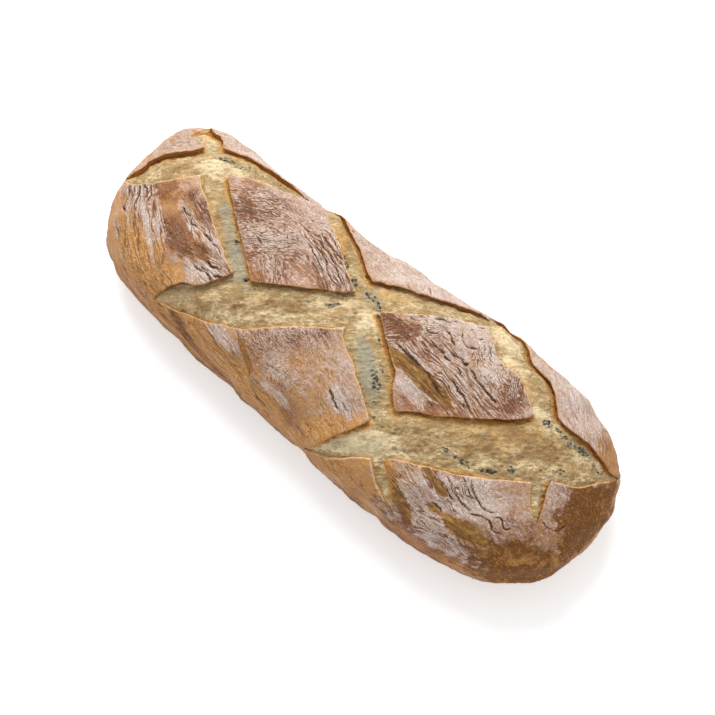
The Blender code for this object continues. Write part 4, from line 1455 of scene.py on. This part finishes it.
def flour_finish():
    finish = Finish("flour")
    tint = finish.noise(4.0) - 0.5
    colour = finish.mix((tint * 2.0).over(-0.3, 0.3), FLOUR_TONE, FLOUR_WHITE)
    finish.shade(Base_Color=colour, Roughness=0.95, Specular_IOR_Level=0.1)
    return finish.material


def floor_finish():
    finish = Finish("floor")
    darker = tuple(0.985 * part for part in FLOOR_TONE)
    colour = finish.mix(finish.noise(60.0, detail=2.0).over(0.3, 0.7), FLOOR_TONE, darker)
    finish.shade(Base_Color=colour, Roughness=0.7, Emission_Color=WHITE, Emission_Strength=FLOOR_GLOW)
    return finish.material


# ---------------------------------------------------------------- loose grains of flour
GRAIN_RADIUS = 0.22
GRAINS_PER_SQUARE_METRE = 5.0e5
FLOURY_FROM = 0.32
GRAIN_SEED = 7


def grain_tree(material):
    """Geometry nodes that scatter grains over a mesh where its flour value is high."""
    tree = bpy.data.node_groups.new("flour grains", "GeometryNodeTree")
    tree.is_modifier = True
    knobs = {}
    for name, kind in (("Geometry", "Geometry"), ("Density", "Float"), ("Radius", "Float"), ("Seed", "Int")):
        socket = tree.interface.new_socket(name=name, in_out="INPUT", socket_type="NodeSocket" + kind)
        knobs[name] = socket.identifier
    tree.interface.new_socket(name="Geometry", in_out="OUTPUT", socket_type="NodeSocketGeometry")
    given = tree.nodes.new("NodeGroupInput").outputs

    def stored(name):
        node = add_node(tree, "GeometryNodeInputNamedAttribute", {"data_type": "FLOAT"}, Name=name)
        return Value(tree, node.outputs["Attribute"])

    place = tree.nodes.new("GeometryNodeInputPosition").outputs["Position"]
    height = Value(tree, add_node(tree, "ShaderNodeSeparateXYZ", Vector=place).outputs["Z"])
    often = stored("flour").over(FLOURY_FROM, 1.0) * (1.0 - stored("wall").over(0.0, 0.2))
    often = often * height.over(2.0 * MM, 8.0 * MM) * Value(tree, given["Density"])
    spots = add_node(tree, "GeometryNodeDistributePointsOnFaces", {"distribute_method": "RANDOM"},
                     Mesh=given["Geometry"], Density=often, Seed=given["Seed"])
    ball = add_node(tree, "GeometryNodeMeshIcoSphere", Radius=given["Radius"], Subdivisions=1)
    chance = Value(tree, add_node(tree, "ShaderNodeTexWhiteNoise", Vector=place).outputs["Value"])
    placed = add_node(tree, "GeometryNodeInstanceOnPoints", Points=spots.outputs["Points"],
                      Instance=ball.outputs["Mesh"], Rotation=spots.outputs["Rotation"],
                      Scale=chance * 0.9 + 0.4)
    real = add_node(tree, "GeometryNodeRealizeInstances", Geometry=placed.outputs["Instances"])
    done = add_node(tree, "GeometryNodeSetMaterial", Geometry=real.outputs["Geometry"], Material=material)
    tree.links.new(done.outputs["Geometry"], tree.nodes.new("NodeGroupOutput").inputs["Geometry"])
    return tree, knobs


def make_flour(crust, material):
    """Loose grains of flour on the crust, as one plain mesh."""
    tree, knobs = grain_tree(material)
    piece = add_object("flour", crust.data)
    scatter = piece.modifiers.new("grains", "NODES")
    scatter.node_group = tree
    scatter[knobs["Density"]] = GRAINS_PER_SQUARE_METRE
    scatter[knobs["Radius"]] = GRAIN_RADIUS * MM
    scatter[knobs["Seed"]] = GRAIN_SEED
    mesh = bpy.data.meshes.new_from_object(piece.evaluated_get(bpy.context.evaluated_depsgraph_get()))
    piece.modifiers.clear()
    mesh.name = "flour"
    piece.data = mesh
    return piece


# ---------------------------------------------------------------- floor, light and camera
CAMERA_AZIMUTH = 39.6
CAMERA_ELEVATION = 68.0
CAMERA_DISTANCE = 1.8
CAMERA_LENS = 152.5
SENSOR_WIDTH = 36.0
AIM_RIGHT = 3.16 * MM
AIM_UP = 0.15 * MM
NEAR_AND_FAR = (0.05, 20.0)
FLOOR_REACH = 3.0
FLOOR_BELOW = 0.0004
KEY_LIGHT = {
    "azimuth": CAMERA_AZIMUTH + 185.0, "elevation": 50.0, "distance": 1.6, "size": 1.2, "power": 25.0}
STUDIO_STRENGTH = 0.66


def view_axes(azimuth, elevation):
    """Unit vectors back to the camera, to its right and up."""
    turn = math.radians(azimuth)
    tilt = math.radians(elevation)
    back = Vector((math.sin(turn) * math.cos(tilt), -math.cos(turn) * math.cos(tilt), math.sin(tilt)))
    right = Vector((math.cos(turn), math.sin(turn), 0.0))
    return back, right, back.cross(right)


def add_camera():
    back, right, up = view_axes(CAMERA_AZIMUTH, CAMERA_ELEVATION)
    middle = Vector((-LOAF_MIDDLE[0], -LOAF_MIDDLE[1], FOOT)) * MM
    aim = middle + right * AIM_RIGHT + up * AIM_UP
    lens = bpy.data.cameras.new("camera")
    lens.lens = CAMERA_LENS
    lens.sensor_width = SENSOR_WIDTH
    lens.clip_start, lens.clip_end = NEAR_AND_FAR
    camera = add_object("camera", lens)
    camera.location = aim + back * CAMERA_DISTANCE
    camera.rotation_euler = (-back).to_track_quat("-Z", "Y").to_euler()
    bpy.context.scene.camera = camera


def add_floor():
    mesh = bpy.data.meshes.new("floor")
    corners = [(FLOOR_REACH * x, FLOOR_REACH * y, 0.0) for x, y in ((-1, -1), (1, -1), (1, 1), (-1, 1))]
    mesh.from_pydata(corners, [], [(0, 1, 2, 3)])
    mesh.materials.append(floor_finish())
    floor = add_object("floor", mesh)
    floor.location.z = -FLOOR_BELOW


def add_light(name, azimuth, elevation, distance, size, power):
    back, _, _ = view_axes(azimuth, elevation)
    lamp = bpy.data.lights.new(name, "AREA")
    lamp.shape = "DISK"
    lamp.size = size
    lamp.energy = power
    light = add_object(name, lamp)
    light.location = back * distance
    light.rotation_euler = (-back).to_track_quat("-Z", "Y").to_euler()


def add_lights():
    add_light("key", **KEY_LIGHT)
    world = bpy.data.worlds.new("studio")
    world.use_nodes = True
    background = world.node_tree.nodes["Background"]
    background.inputs["Color"].default_value = WHITE
    background.inputs["Strength"].default_value = STUDIO_STRENGTH
    bpy.context.scene.world = world


def main():
    crust = make_crust(crust_finish())
    crumb = make_crumb(crumb_finish())
    flour = make_flour(crust, flour_finish())
    for piece in (crust, crumb, flour):
        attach(piece, "root")
        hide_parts("loaf")
    add_floor()
    add_lights()
    add_camera()
    bpy.context.scene.view_settings.view_transform = "Standard"


main()
